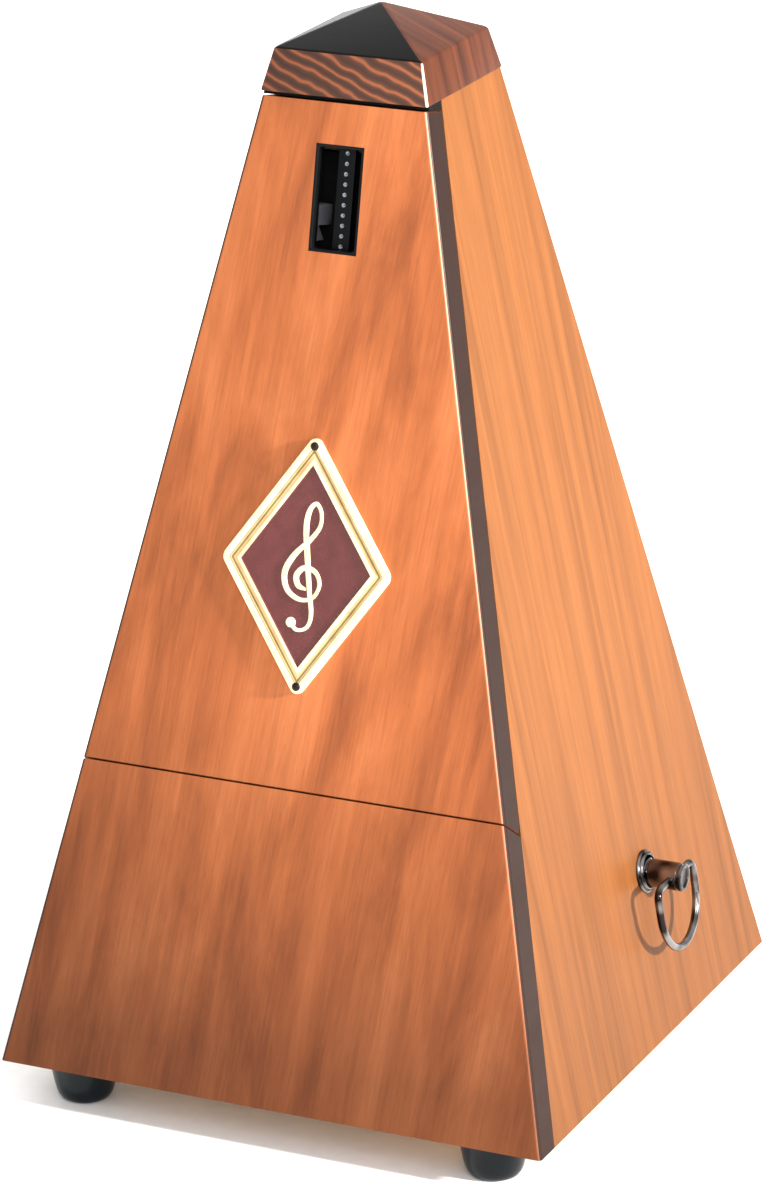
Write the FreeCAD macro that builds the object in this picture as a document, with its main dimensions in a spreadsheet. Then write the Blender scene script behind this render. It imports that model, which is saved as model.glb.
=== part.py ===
"""Pyramid metronome: a wooden case on rubber feet, a lift-off front cover, and a clockwork with a weighted
pendulum inside. Millimetres, +Z up, front towards -Y, origin on the table under the middle of the case."""
import FreeCAD, Part
import math
import os
import Sketcher
from types import SimpleNamespace
from FreeCAD import Placement, Rotation, Vector

SIZES = [
    # name, value, meaning
    ("base_width", 118.0, "width and depth of the case at its foot"),
    ("top_width", 34.8, "width and depth of the case under its cap"),
    ("case_height", 194.6, "height of the case without feet and cap"),
    ("panel_thick", 5.0, "side and back panels"),
    ("front_thick", 6.6, "lower front panel"),
    ("cover_thick", 6.3, "lift-off cover"),
    ("base_thick", 6.0, "base board"),
    ("corner_round", 0.9, "rounding of the case's front corners"),
    ("split_height", 64.2, "joint of cover and lower panel, measured up the slope"),
    ("split_bevel", 25.0, "angle of that joint from square, in degrees"),
    ("cover_top", 198.1, "top edge of the cover, measured up the slope"),
    ("channel_width", 28.0, "routed channel for the pendulum in the cover's back"),
    ("channel_floor", 2.2, "wood left in front of the channel"),
    ("rail_near", 0.8, "front of the rail under the cap behind the front face"),
    ("rail_gap", 0.35, "between the cover and the rail under the cap"),
    ("cap_overhang", 0.4, "cap beyond the case, each side"),
    ("cap_band", 8.4, "upright part of the cap"),
    ("cap_top_width", 31.4, "width of the cap where its low pyramid starts"),
    ("cap_peak", 7.0, "height of the cap's low pyramid"),
    ("foot_height", 9.0, "rubber foot"),
    ("foot_top_radius", 7.4, "rubber foot where it meets the case"),
    ("foot_bottom_radius", 5.3, "rubber foot where it meets the table"),
    ("foot_side_inset", 14.0, "foot centre from the side of the case"),
    ("foot_front_inset", 9.6, "foot centre from the front and back of the case"),
    ("window_width", 10.2, "opening in the cover"),
    ("window_height", 20.9, "opening in the cover"),
    ("window_low", 169.2, "lower edge of the opening, up the slope"),
    ("lining_thick", 0.6, "black lining of the opening"),
    ("emblem_half_width", 18.3, "lozenge plate"),
    ("emblem_half_height", 26.2, "lozenge plate"),
    ("emblem_middle", 108.2, "centre of the lozenge, up the slope"),
    ("emblem_thick", 1.0, "lozenge plate"),
    ("pivot_height", 58.0, "pendulum pivot, up the slope"),
    ("rod_depth", 3.6, "front of the pendulum rod behind the front face"),
    ("rod_width", 3.5, "pendulum rod"),
    ("rod_thick", 1.2, "pendulum rod"),
    ("rod_top", 193.0, "upper end of the pendulum rod, up the slope"),
    ("dimple_pitch", 2.0, "spacing of the dimples that hold the sliding weight"),
    ("dimple_first", 76.4, "lowest dimple, up the slope"),
    ("dimple_count", 57.0, "dimples down the front of the rod"),
    ("dimple_radius", 0.42, "dimple at the rod's face"),
    ("dimple_sink", 0.4, "dimple, into the rod"),
    ("weight_middle", 100.0, "sliding weight, up the slope"),
    ("weight_height", 17.0, "sliding weight"),
    ("weight_top_width", 19.0, "sliding weight"),
    ("weight_low_width", 13.0, "sliding weight"),
    ("weight_thick", 3.4, "sliding weight"),
    ("weight_depth", 2.5, "front of the sliding weight behind the front face"),
    ("bob_middle", 31.0, "pendulum bob, up the slope"),
    ("bob_radius", 10.5, "pendulum bob"),
    ("bob_thick", 8.5, "pendulum bob"),
    ("bob_depth", 8.0, "front of the bob behind the front face"),
    ("pendulum_arbor_radius", 1.2, "shaft the pendulum hangs on"),
    ("pendulum_arbor_rear", 43.0, "rear end of that shaft behind the front face"),
    ("pendulum_arbor_length", 40.0, "shaft the pendulum hangs on"),
    ("verge_depth", 30.1, "middle of the escape wheel behind the front face"),
    ("pallet_offset", 7.1, "each pallet from the middle of the escape wheel, along the shaft"),
    ("scale_depth", 9.0, "front of the scale board behind the front face"),
    ("scale_thick", 3.0, "scale board"),
    ("plate_thick", 1.5, "movement plates and cocks"),
    ("left_plate_face", -16.0, "outer face of the left movement plate"),
    ("right_plate_face", 25.5, "outer face of the right movement plate"),
    ("plate_top", 64.0, "top edge of the movement plates above the table"),
    ("plate_back", 33.0, "back edge of the movement plates"),
    ("front_cock_depth", 18.6, "front of the front cock behind the front face"),
    ("rear_cock_depth", 40.0, "front of the rear cock behind the front face"),
    ("cock_height", 10.0, "both cocks, up the slope"),
    ("key_height", 42.0, "winding axis above the table"),
    ("key_back", 10.5, "winding axis behind the middle of the case"),
    ("key_reach", 8.7, "key beyond the side panel"),
    ("key_radius", 2.9, "barrel of the key"),
    ("key_sink", 3.4, "foot of the key below the outside of the panel"),
    ("bail_inset", 2.3, "cross hole for the bail from the key's end"),
    ("bail_wire", 0.8, "radius of the key's wire bail"),
    ("bail_half_width", 9.2, "bail centre line from the key's axis, sideways"),
    ("bail_drop", 14.6, "bail centre line below the key's axis"),
    ("bail_rest", 8.75, "angle the bail hangs outwards from plumb, in degrees"),
    ("rosette_radius", 4.4, "escutcheon round the key"),
    ("rosette_thick", 1.3, "escutcheon round the key"),
    ("winding_radius", 2.0, "winding arbor"),
    ("drum_radius", 15.0, "spring barrel"),
    ("drum_length", 14.0, "spring barrel"),
    ("great_teeth", 48.0, "great wheel on the spring barrel"),
    ("great_module", 0.75, "great wheel and the pinion it drives"),
    ("second_teeth", 48.0, "intermediate wheel"),
    ("second_module", 0.6, "intermediate wheel and the pinion it drives"),
    ("pinion_teeth", 12.0, "both pinions"),
    ("crown_radius", 8.5, "escape wheel"),
    ("crown_teeth", 15.0, "escape wheel"),
    ("crown_offset", 4.5, "escape arbor below the pendulum arbor"),
    ("ratchet_teeth", 12.0, "ratchet wheel"),
    ("ratchet_radius", 8.0, "ratchet wheel"),
    ("ratchet_root", 6.6, "ratchet wheel"),
    ("running_gap", 0.06, "radial clearance of a shaft in its hole"),
]
FRONT, RIGHT, BACK, LEFT = range(4)
FACING_X = Rotation(Vector(1, 1, 1), 120)  # x, y, z of a profile become Y, Z, X of the metronome
UPRIGHT = Rotation(Vector(1, 0, 0), 90)
PLAIN = Rotation()

doc = FreeCAD.newDocument("Metronome")
sheet = doc.addObject("Spreadsheet::Sheet", "Sizes")
for row, (name, value, meaning) in enumerate(SIZES, start=1):
    sheet.set(f"A{row}", name)
    sheet.set(f"B{row}", str(value))
    sheet.set(f"C{row}", meaning)
    sheet.setAlias(f"B{row}", name)
doc.recompute()
d = SimpleNamespace(**{name: float(sheet.get(name)) for name, value, meaning in SIZES})

LEAN = math.degrees(math.atan((d.base_width - d.top_width) / 2 / d.case_height))
RISE = math.cos(math.radians(LEAN))  # height gained per millimetre up a face
RECEDE = math.sin(math.radians(LEAN))  # and how far the face moves in
CASE_TOP = d.foot_height + d.case_height
BIG = 300.0
nodes = []


# ---------------------------------------------------------------- helpers

def keep(item, label):
    """Name a finished sub-part."""
    item.Label = label
    nodes.append(item)
    return item


def bound(kind, place, **sizes):
    """A Part primitive whose sizes follow the sheet where they are given as text."""
    item = doc.addObject(kind, "piece")
    for size, value in sizes.items():
        if isinstance(value, str):
            item.setExpression(size, value)
        else:
            setattr(item, size, value)
    item.Placement = place
    return item


def box(place, length, width, height):
    return bound("Part::Box", place, Length=length, Width=width, Height=height)


def rod(place, radius, height):
    return bound("Part::Cylinder", place, Radius=radius, Height=height)


def cut(base, *tools):
    for tool in tools:
        item = doc.addObject("Part::Cut", "cut")
        item.Base = base
        item.Tool = tool
        base = item
    return base


def rounded(base, radius, chosen):
    """Round the edges that the test picks."""
    doc.recompute()
    edges = [number for number, edge in enumerate(base.Shape.Edges, start=1) if chosen(edge)]
    item = doc.addObject("Part::Fillet", "rounded")
    item.Base = base
    item.Edges = [(number, radius, radius) for number in edges]
    return item


def fuse(*parts):
    item = doc.addObject("Part::MultiFuse", "fuse")
    item.Shapes = list(parts)
    return item


def common(*parts):
    item = doc.addObject("Part::MultiCommon", "common")
    item.Shapes = list(parts)
    return item


def group(*parts):
    item = doc.addObject("Part::Compound", "group")
    item.Links = list(parts)
    return item


def shaped(shape, place=Placement()):
    """A piece that no parametric feature fits: its shape is worked out from the sheet's sizes."""
    item = doc.addObject("Part::Feature", "shaped")
    item.Shape = shape
    item.Placement = place
    return item


def at(x, y, z, turn=PLAIN):
    return Placement(Vector(x, y, z), turn)


def on_face(face, across=0.0, up=0.0, out=0.0, turn=PLAIN):
    """A place on a sloping face of the case: across it, up its slope and out of it."""
    around = Placement(Vector(), Rotation(Vector(0, 0, 1), 90 * face))
    foot = Placement(Vector(0, -d.base_width / 2, d.foot_height), Rotation(Vector(1, 0, 0), 90 - LEAN))
    return around * foot * Placement(Vector(across, up, out), turn)


def in_front(across, up, depth):
    """The point that lies this far behind the front face."""
    return on_face(FRONT, across, up, -depth).Base


def pyramid(inset_sides="0", inset_ends="0"):
    """The outer form of the case, narrowed from its sides or from its front and back."""
    def half(width, inset):
        return f"{width} / 2 - ({inset})"
    low, high = "Sizes.base_width", "Sizes.top_width"
    sizes = {"Ymin": 0.0, "Ymax": "Sizes.case_height"}
    for letter, inset in (("X", inset_sides), ("Z", inset_ends)):
        sizes[letter + "min"] = f"-({half(low, inset)})"
        sizes[letter + "max"] = half(low, inset)
        sizes[letter + "2min"] = f"-({half(high, inset)})"
        sizes[letter + "2max"] = half(high, inset)
    return bound("Part::Wedge", at(0, 0, d.foot_height, UPRIGHT), **sizes)


def slab(face, near, far, low, high):
    """A layer of the case between two depths behind a face, from one slope height to another."""
    return box(on_face(face, -BIG / 2, low, -far), BIG, high - low, far - near)


def front_corner(edge):
    """Is this one of the long edges where the front face meets a side of the case?"""
    middle = edge.valueAt((edge.FirstParameter + edge.LastParameter) / 2)
    half_width = d.base_width / 2 - (middle.z - d.foot_height) * math.tan(math.radians(LEAN))
    on_front = abs(middle.y + half_width) < 0.01
    return on_front and abs(abs(middle.x) - half_width) < 0.01 and edge.Length > 20


def above_split(gap):
    """Everything above the bevelled joint of the cover and the lower panel."""
    turn = Rotation(Vector(1, 0, 0), -d.split_bevel)
    corner = on_face(FRONT, -BIG / 2, d.split_height + gap, 0, turn)
    return box(corner * at(0, 0, -BIG / 2), BIG, BIG, BIG)


def sketch_on(body, plane, corners):
    """A closed outline; each corner is a pair of (value, expression)."""
    sketch = body.newObject("Sketcher::SketchObject", "outline")
    origin = next(item for item in body.Origin.OriginFeatures if item.Role == plane)
    sketch.AttachmentSupport = [(origin, "")]
    sketch.MapMode = "FlatFace"
    points = [Vector(x[0], y[0], 0) for x, y in corners]
    for start, end in zip(points, points[1:] + points[:1]):
        sketch.addGeometry(Part.LineSegment(start, end))
    for side in range(len(corners)):
        sketch.addConstraint(Sketcher.Constraint("Coincident", side, 2, (side + 1) % len(corners), 1))
    for side, corner in enumerate(corners):
        for direction, (value, expression) in zip(("DistanceX", "DistanceY"), corner):
            number = sketch.addConstraint(Sketcher.Constraint(direction, -1, 1, side, 1, value))
            if expression:
                sketch.setExpression(f"Constraints[{number}]", expression)
    return sketch


def of(name, share=1.0, extra=0.0):
    """A share of a named size, as the value and the expression of a sketch dimension."""
    return getattr(d, name) * share + extra, f"{share} * Sizes.{name} + {extra}"


def plain(value):
    return value, None


def padded(place, corners, thickness):
    """A flat piece: an outline padded to a thickness."""
    body = doc.addObject("PartDesign::Body", "body")
    pad = body.newObject("PartDesign::Pad", "pad")
    pad.Profile = sketch_on(body, "XY_Plane", corners)
    pad.setExpression("Length", thickness)
    body.Placement = place
    return body


def turned(place, steps):
    """A turned piece: (radius, height) steps from the bottom up, revolved about its own Z."""
    body = doc.addObject("PartDesign::Body", "body")
    feature = body.newObject("PartDesign::Revolution", "revolution")
    sketch = sketch_on(body, "XZ_Plane", steps)
    feature.Profile = sketch
    feature.ReferenceAxis = (sketch, ["V_Axis"])
    feature.Angle = 360.0
    body.Placement = place
    return body


def screw(place, shank_radius, shank_length, head_radius, head_height):
    """A slotted screw: the underside of its head at the origin and the shank downwards."""
    shank = rod(place * at(0, 0, -shank_length), shank_radius, shank_length)
    head = rod(place, head_radius, head_height)
    slot = box(place * at(-BIG / 2, -0.25, head_height * 0.55), BIG, 0.5, head_height)
    return cut(fuse(shank, head), slot)


def screws(places, *sizes):
    return group(*[screw(place, *sizes) for place in places])


def gear_face(teeth, module, bore, phase_degrees):
    """The flat outline of a wheel or pinion with slim clock teeth."""
    pitch_radius = teeth * module / 2
    step = 2 * math.pi / teeth
    profile = [(-0.29, -1.15), (-0.2, 0.0), (-0.09, 0.8), (0.09, 0.8), (0.2, 0.0), (0.29, -1.15)]
    points = []
    for tooth in range(int(teeth)):
        middle = math.radians(phase_degrees) + tooth * step
        for share, height in profile:
            radius = pitch_radius + height * module
            angle = middle + share * step
            points.append(Vector(radius * math.cos(angle), radius * math.sin(angle), 0))
    outline = Part.Face(Part.makePolygon(points + points[:1]))
    return outline.cut(Part.Face(Part.Wire(Part.makeCircle(bore))))


def gear(teeth, module, bore, width, phase_degrees):
    return gear_face(teeth, module, bore, phase_degrees).extrude(Vector(0, 0, width))


def direction(start, end):
    """The angle, in degrees, from one arbor to another, seen along X."""
    return math.degrees(math.atan2(end[1] - start[1], end[0] - start[0]))


# ---------------------------------------------------------------- places of the arbors, as (Y, Z)

verge = in_front(0, d.pivot_height, d.verge_depth)
barrel_axis = (d.key_back, d.key_height)
escape_axis = (verge.y - d.crown_offset * RECEDE, verge.z - d.crown_offset * RISE)
great_reach = (d.great_teeth + d.pinion_teeth) * d.great_module / 2
second_reach = (d.second_teeth + d.pinion_teeth) * d.second_module / 2
span = math.dist(barrel_axis, escape_axis)
along = (great_reach ** 2 - second_reach ** 2 + span ** 2) / (2 * span)
aside = math.sqrt(great_reach ** 2 - along ** 2)
unit = ((escape_axis[0] - barrel_axis[0]) / span, (escape_axis[1] - barrel_axis[1]) / span)
second_axis = (
    barrel_axis[0] + along * unit[0] - aside * unit[1],
    barrel_axis[1] + along * unit[1] + aside * unit[0],
)
panel_outside = d.base_width / 2 - (d.key_height - d.foot_height) * math.tan(math.radians(LEAN))
key_end = panel_outside + d.key_reach
bail_x = key_end - d.bail_inset


def along_x(x, axis):
    return at(x, axis[0], axis[1], FACING_X)


# ---------------------------------------------------------------- fasteners that other pieces are drilled for

foot_x = d.base_width / 2 - d.foot_side_inset
foot_y = d.base_width / 2 - d.foot_front_inset
foot_corners = {
    "foot_front_left": (-foot_x, -foot_y),
    "foot_front_right": (foot_x, -foot_y),
    "foot_rear_left": (-foot_x, foot_y),
    "foot_rear_right": (foot_x, foot_y),
}
HEAD_UP = PLAIN
HEAD_DOWN = Rotation(Vector(1, 0, 0), 180)
foot_screws = keep(
    screws([at(x, y, 4.0, HEAD_DOWN) for x, y in foot_corners.values()], 1.0, 7.8, 2.4, 1.2),
    "foot_screws",
)
flange_top = d.foot_height + d.base_thick + 0.2 + d.plate_thick
flange_middles = (d.left_plate_face - 5, d.right_plate_face + 5)
flange_places = [at(x, y, flange_top, HEAD_UP) for x in flange_middles for y in (-24, 24)]
movement_screws = keep(screws(flange_places, 1.2, 7.0, 2.4, 1.2), "movement_screws")
PILLARS = [(-31.0, 21.5), (29.0, 22.0), (24.5, 59.0)]
pillar_ends = [along_x(d.right_plate_face, place) for place in PILLARS]
pillar_ends += [along_x(d.left_plate_face, place) * at(0, 0, 0, HEAD_DOWN) for place in PILLARS]
pillar_screws = keep(screws(pillar_ends, 1.0, 5.0, 2.6, 1.2), "pillar_screws")
EMBLEM_NAIL_OFFSET = 23.6
emblem_nail_places = [
    on_face(FRONT, 0, d.emblem_middle + side * EMBLEM_NAIL_OFFSET, d.emblem_thick) for side in (-1, 1)
]
emblem_nails = keep(screws(emblem_nail_places, 0.45, 3.0, 0.95, 0.45), "emblem_nails")
SCALE_PLATE_THICK = 0.5
SCALE_NAILS = [(20.7, 78.0), (12.8, 157.0)]  # from the middle, and up the slope
scale_nail_places = [
    on_face(FRONT, side * across, up, SCALE_PLATE_THICK - d.scale_depth)
    for across, up in SCALE_NAILS for side in (-1, 1)
]
scale_nails = keep(screws(scale_nail_places, 0.5, 2.5, 1.1, 0.5), "scale_plate_nails")
CATCH_UP = 176.0
SPRING_DEPTH = 14.0  # the top block's front, which the cover's spring is screwed to
catch_screws = keep(
    group(
        screw(on_face(FRONT, -8.2, CATCH_UP, 0.6 - d.scale_depth), 0.6, 2.6, 1.2, 0.6),
        screw(on_face(FRONT, 0, 194.5, 0.6 - SPRING_DEPTH), 0.6, 4.0, 1.3, 0.6),
    ),
    "catch_screws",
)

# ---------------------------------------------------------------- case

SIDE_INSET = f"Sizes.panel_thick / {RISE}"  # a panel's thickness measured level


def side_panel(face):
    whole = common(pyramid(), slab(face, 0.0, d.panel_thick, -5.0, BIG))
    return cut(whole, slab(FRONT, -1.0, d.front_thick, -5.0, BIG))


keyway = rod(along_x(30.0, barrel_axis), "Sizes.key_radius + 0.7", 40.0)
keep(side_panel(LEFT), "side_panel_left")
keep(cut(side_panel(RIGHT), keyway), "side_panel_right")
keep(common(pyramid(SIDE_INSET), slab(BACK, 0.0, d.panel_thick, -5.0, BIG)), "back_panel")


def inner_block(low, high, front_depth):
    """A block that fills the case between two heights, behind a depth."""
    layer = box(at(-BIG / 2, -BIG / 2, low), BIG, BIG, high - low)
    block = common(pyramid(SIDE_INSET), layer)
    return cut(block, slab(FRONT, -1.0, front_depth, -5.0, BIG), slab(BACK, -1.0, d.panel_thick, -5.0, BIG))


base_board = inner_block(d.foot_height, d.foot_height + d.base_thick, d.front_thick)
keep(cut(base_board, foot_screws, movement_screws), "base_board")
top_block = inner_block(190.0, CASE_TOP, SPRING_DEPTH)
keep(cut(top_block, catch_screws), "top_block")

glue_layer = box(at(-BIG / 2, -32.0, d.foot_height + d.base_thick), BIG, 70.0, 8.0)
between_blocks = box(at(-44.0, -BIG / 2, 0), 88.0, BIG, BIG)
keep(cut(common(pyramid(SIDE_INSET), glue_layer), between_blocks), "glue_blocks")

JOINT_GAP = 0.45  # between the lower panel and the cover
RECESS_FLOOR = 2.4  # wood left in front of the recess that the pendulum's hub turns in
recess = box(on_face(FRONT, -8.0, 51.5, -BIG), 16.0, 20.0, BIG - RECESS_FLOOR)
lower_panel = common(pyramid(), slab(FRONT, 0.0, d.front_thick, -5.0, d.split_height + 5))
lower_panel = cut(lower_panel, above_split(-JOINT_GAP))
keep(cut(rounded(lower_panel, d.corner_round, front_corner), recess), "lower_front_panel")

band = bound(
    "Part::Wedge", at(0, 0, CASE_TOP, UPRIGHT), Ymin=0.0, Ymax="Sizes.cap_band",
    Xmin="-Sizes.top_width / 2 - Sizes.cap_overhang", Xmax="Sizes.top_width / 2 + Sizes.cap_overhang",
    Zmin="-Sizes.top_width / 2 - Sizes.cap_overhang", Zmax="Sizes.top_width / 2 + Sizes.cap_overhang",
    X2min="-Sizes.cap_top_width / 2", X2max="Sizes.cap_top_width / 2",
    Z2min="-Sizes.cap_top_width / 2", Z2max="Sizes.cap_top_width / 2",
)
peak = bound(
    "Part::Wedge", at(0, 0, CASE_TOP + d.cap_band, UPRIGHT), Ymin=0.0, Ymax="Sizes.cap_peak",
    Xmin="-Sizes.cap_top_width / 2", Xmax="Sizes.cap_top_width / 2",
    Zmin="-Sizes.cap_top_width / 2", Zmax="Sizes.cap_top_width / 2",
    X2min=-0.3, X2max=0.3, Z2min=-0.3, Z2max=0.3,
)
keep(fuse(band, peak), "cap")
rail_layer = slab(FRONT, d.rail_near, d.cover_thick, d.cover_top + d.rail_gap, BIG)
keep(common(pyramid(), rail_layer), "cap_rail")

for label, (x, y) in foot_corners.items():
    steps = [
        (plain(2.7), plain(0.0)),
        (of("foot_bottom_radius", 1.0, -0.6), plain(0.0)),
        (of("foot_bottom_radius"), plain(0.6)),
        (of("foot_top_radius"), of("foot_height")),
        (plain(1.0), of("foot_height")),
        (plain(1.0), plain(4.0)),
        (plain(2.7), plain(4.0)),
    ]
    keep(turned(at(x, y, 0), steps), label)

# ---------------------------------------------------------------- scale and catches, seen with the cover off

scale_layer = slab(FRONT, d.scale_depth, d.scale_depth + d.scale_thick, 70.0, 188.0)
scale_board = cut(common(pyramid(SIDE_INSET), scale_layer), scale_nails, catch_screws)
keep(scale_board, "scale_board")
plate_layer = slab(FRONT, d.scale_depth - SCALE_PLATE_THICK, d.scale_depth, 74.0, 162.0)
keep(cut(common(pyramid("12"), plate_layer), scale_nails), "scale_plate")

catch_foot = box(on_face(FRONT, -9.8, CATCH_UP - 2, -d.scale_depth), 5.0, 4.0, 0.6)
catch_leaf = box(on_face(FRONT, -5.3, CATCH_UP - 2, -d.scale_depth), 0.5, 4.0, 6.2)
lip = Rotation(Vector(0, 0, 1), 25)
catch_lip = box(on_face(FRONT, -4.9, CATCH_UP - 5.0, -5.2, lip), 0.5, 7.0, 2.2)
keep(cut(fuse(catch_foot, catch_leaf, catch_lip), catch_screws), "pendulum_catch")

spring_foot = box(on_face(FRONT, -3.0, 191.5, -SPRING_DEPTH), 6.0, 5.6, 0.6)
spring_arm = box(on_face(FRONT, -3.0, 196.5, -SPRING_DEPTH), 6.0, 0.6, 7.2)
keep(cut(fuse(spring_foot, spring_arm), catch_screws), "cover_spring")

# ---------------------------------------------------------------- lift-off cover

window_corner = on_face(FRONT, -d.window_width / 2, d.window_low, -BIG / 2)
window = box(window_corner, "Sizes.window_width", "Sizes.window_height", BIG)
lining_hole = box(
    window_corner * at(d.lining_thick, d.lining_thick, 0),
    "Sizes.window_width - 2 * Sizes.lining_thick", "Sizes.window_height - 2 * Sizes.lining_thick", BIG,
)
lining_block = box(
    on_face(FRONT, -d.window_width / 2, d.window_low, -d.channel_floor),
    "Sizes.window_width", "Sizes.window_height", "Sizes.channel_floor",
)
channel = box(
    on_face(FRONT, -d.channel_width / 2, 50.0, -d.cover_thick - 1),
    "Sizes.channel_width", 144.6, "Sizes.cover_thick + 1 - Sizes.channel_floor",
)
STRIKE_THICK = 0.8
strike = box(on_face(FRONT, -4.0, 194.8, -d.cover_thick), 8.0, 2.4, STRIKE_THICK)
strike_seat = box(on_face(FRONT, -4.0, 194.8, -d.cover_thick - 1), 8.0, 2.4, STRIKE_THICK + 1)
HEEL_DROP = 1.2  # the planed heel starts this far below the front edge of the joint
HEEL_ANGLE = 22.3  # and keeps the cover's foot clear of the side panels while it tips
heel_turn = Rotation(Vector(1, 0, 0), -HEEL_ANGLE)
heel_corner = on_face(FRONT, -BIG / 2, d.split_height - HEEL_DROP, -d.cover_thick, heel_turn)
heel = box(heel_corner * at(0, -20, -20), BIG, 20.0, 20.0)
cover_layer = slab(FRONT, 0.0, d.cover_thick, 50.0, d.cover_top)
cover = rounded(common(pyramid(), cover_layer, above_split(0.0)), d.corner_round, front_corner)
keep(cut(cover, heel, channel, window, strike_seat, emblem_nails), "front_cover")
keep(strike, "cover_strike")
keep(cut(lining_block, lining_hole), "window_lining")

lozenge = [
    (of("emblem_half_width"), plain(0.0)),
    (plain(0.0), of("emblem_half_height")),
    (of("emblem_half_width", -1.0), plain(0.0)),
    (plain(0.0), of("emblem_half_height", -1.0)),
]
FIELD = 0.74  # the sunk field, as a share of the plate
field = [
    (of("emblem_half_width", FIELD), plain(0.0)),
    (plain(0.0), of("emblem_half_height", FIELD)),
    (of("emblem_half_width", -FIELD), plain(0.0)),
    (plain(0.0), of("emblem_half_height", -FIELD)),
]
emblem = padded(on_face(FRONT, 0, d.emblem_middle, 0), lozenge, "Sizes.emblem_thick")
sunk = emblem.newObject("PartDesign::Pocket", "sunk_field")
sunk.Profile = sketch_on(emblem, "XY_Plane", field)
sunk.Profile[0].AttachmentOffset = at(0, 0, d.emblem_thick)
sunk.Length = 0.3
keep(cut(emblem, emblem_nails), "emblem_plate")

# ---------------------------------------------------------------- pendulum

pendulum = on_face(FRONT, 0, 0, -d.rod_depth - d.rod_thick)
strip = [
    (of("rod_width", 0.5), of("pivot_height", 1.0, -4.0)),
    (of("rod_width", 0.5), of("rod_top")),
    (of("rod_width", -0.5), of("rod_top")),
    (of("rod_width", -0.5), of("pivot_height", 1.0, -4.0)),
]
pendulum_rod = padded(pendulum, strip, "Sizes.rod_thick")


def dimple(index):
    """A countersunk dimple in the front of the rod."""
    up = d.dimple_first + index * d.dimple_pitch
    place = on_face(FRONT, 0, up, -d.rod_depth, HEAD_DOWN)
    return bound(
        "Part::Cone", place,
        Radius1="Sizes.dimple_radius", Radius2="Sizes.dimple_radius / 4", Height="Sizes.dimple_sink",
    )


dimples = group(*[dimple(index) for index in range(int(d.dimple_count))])
arbor_place = on_face(FRONT, 0, d.pivot_height, -d.pendulum_arbor_rear)
pendulum_arbor = rod(arbor_place, "Sizes.pendulum_arbor_radius", "Sizes.pendulum_arbor_length")
keep(pendulum_arbor, "pendulum_arbor")
keep(cut(pendulum_rod, dimples, pendulum_arbor), "pendulum_rod")
HUB_REAR = 7.6
hub = rod(on_face(FRONT, 0, d.pivot_height, -HUB_REAR), 3.0, HUB_REAR - d.rod_depth - d.rod_thick)
keep(cut(hub, pendulum_arbor), "pendulum_hub")
arm = box(on_face(FRONT, -2.0, 22.0, -13.0), 4.0, 40.0, 1.5)
keep(cut(arm, pendulum_arbor), "bob_arm")
bob = rod(on_face(FRONT, 0, d.bob_middle, -d.bob_depth - d.bob_thick), "Sizes.bob_radius", "Sizes.bob_thick")
bob_screw = keep(
    screw(on_face(FRONT, 0, d.bob_middle, -d.bob_depth), 1.0, 3.5, 2.2, 1.0),
    "bob_screw",
)
keep(cut(bob, arm, bob_screw), "pendulum_bob")


def pallet(depth, angle):
    """A flag on the pendulum arbor that reaches towards the escape wheel."""
    reach, thick, width = 2.2, 0.8, 1.6
    turn = Rotation(Vector(0, 0, 1), 180 + angle)
    place = on_face(FRONT, 0, d.pivot_height, -depth - width / 2, turn)
    flag = box(place * at(0, -thick / 2, 0), reach, thick, width)
    return cut(flag, pendulum_arbor)


PALLET_ANGLE = 50
front_pallet = pallet(d.verge_depth - d.pallet_offset, PALLET_ANGLE)
rear_pallet = pallet(d.verge_depth + d.pallet_offset, -PALLET_ANGLE)
keep(group(front_pallet, rear_pallet), "pallets")

weight_outline = [
    (of("weight_low_width", -0.5), of("weight_height", -0.5)),
    (of("weight_low_width", 0.5), of("weight_height", -0.5)),
    (of("weight_top_width", 0.5), of("weight_height", 0.5)),
    (of("weight_top_width", -0.5), of("weight_height", 0.5)),
]
weight_place = on_face(FRONT, 0, d.weight_middle, -d.weight_depth - d.weight_thick)
weight = padded(weight_place, weight_outline, "Sizes.weight_thick")
slot_depth = d.rod_depth + d.rod_thick + d.running_gap
slot = box(
    on_face(FRONT, -d.rod_width / 2 - d.running_gap, d.weight_middle - 15, -slot_depth),
    "Sizes.rod_width + 2 * Sizes.running_gap", 30.0, "Sizes.rod_thick + 2 * Sizes.running_gap",
)
keep(cut(weight, slot), "tempo_weight")
weight_back = d.weight_depth + d.weight_thick
SPRING_THICK = 0.3
weight_spring = box(
    on_face(FRONT, -1.5, d.weight_middle - 6, -weight_back - SPRING_THICK), 3.0, 12.0, SPRING_THICK
)
keep(weight_spring, "weight_spring")

# ---------------------------------------------------------------- movement frame

inner_left = d.left_plate_face + d.plate_thick
inner_right = d.right_plate_face - d.plate_thick
FLANGE = 9.0


def movement_plate(outer, inner, flange_start):
    """An upright plate with its front edge along the slope, and a flange to stand on."""
    foot = d.foot_height + d.base_thick + 0.2
    front_low = in_front(0, 0, d.front_cock_depth + d.plate_thick)
    slope = math.tan(math.radians(LEAN))

    def edge(z):
        return front_low.y + (z - front_low.z) * slope
    outline = [
        (plain(edge(foot)), plain(foot)),
        (of("plate_back"), plain(foot)),
        (of("plate_back"), of("plate_top")),
        (plain(edge(d.plate_top)), of("plate_top")),
    ]
    plate = padded(at(min(outer, inner), 0, 0, FACING_X), outline, "Sizes.plate_thick")
    flange = box(at(flange_start, -30.0, foot), FLANGE, 60.0, "Sizes.plate_thick")
    seat = box(at(flange_start, -30.0, foot - 0.2), FLANGE, 60.0, 0.2)
    return fuse(plate, flange, seat)


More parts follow.
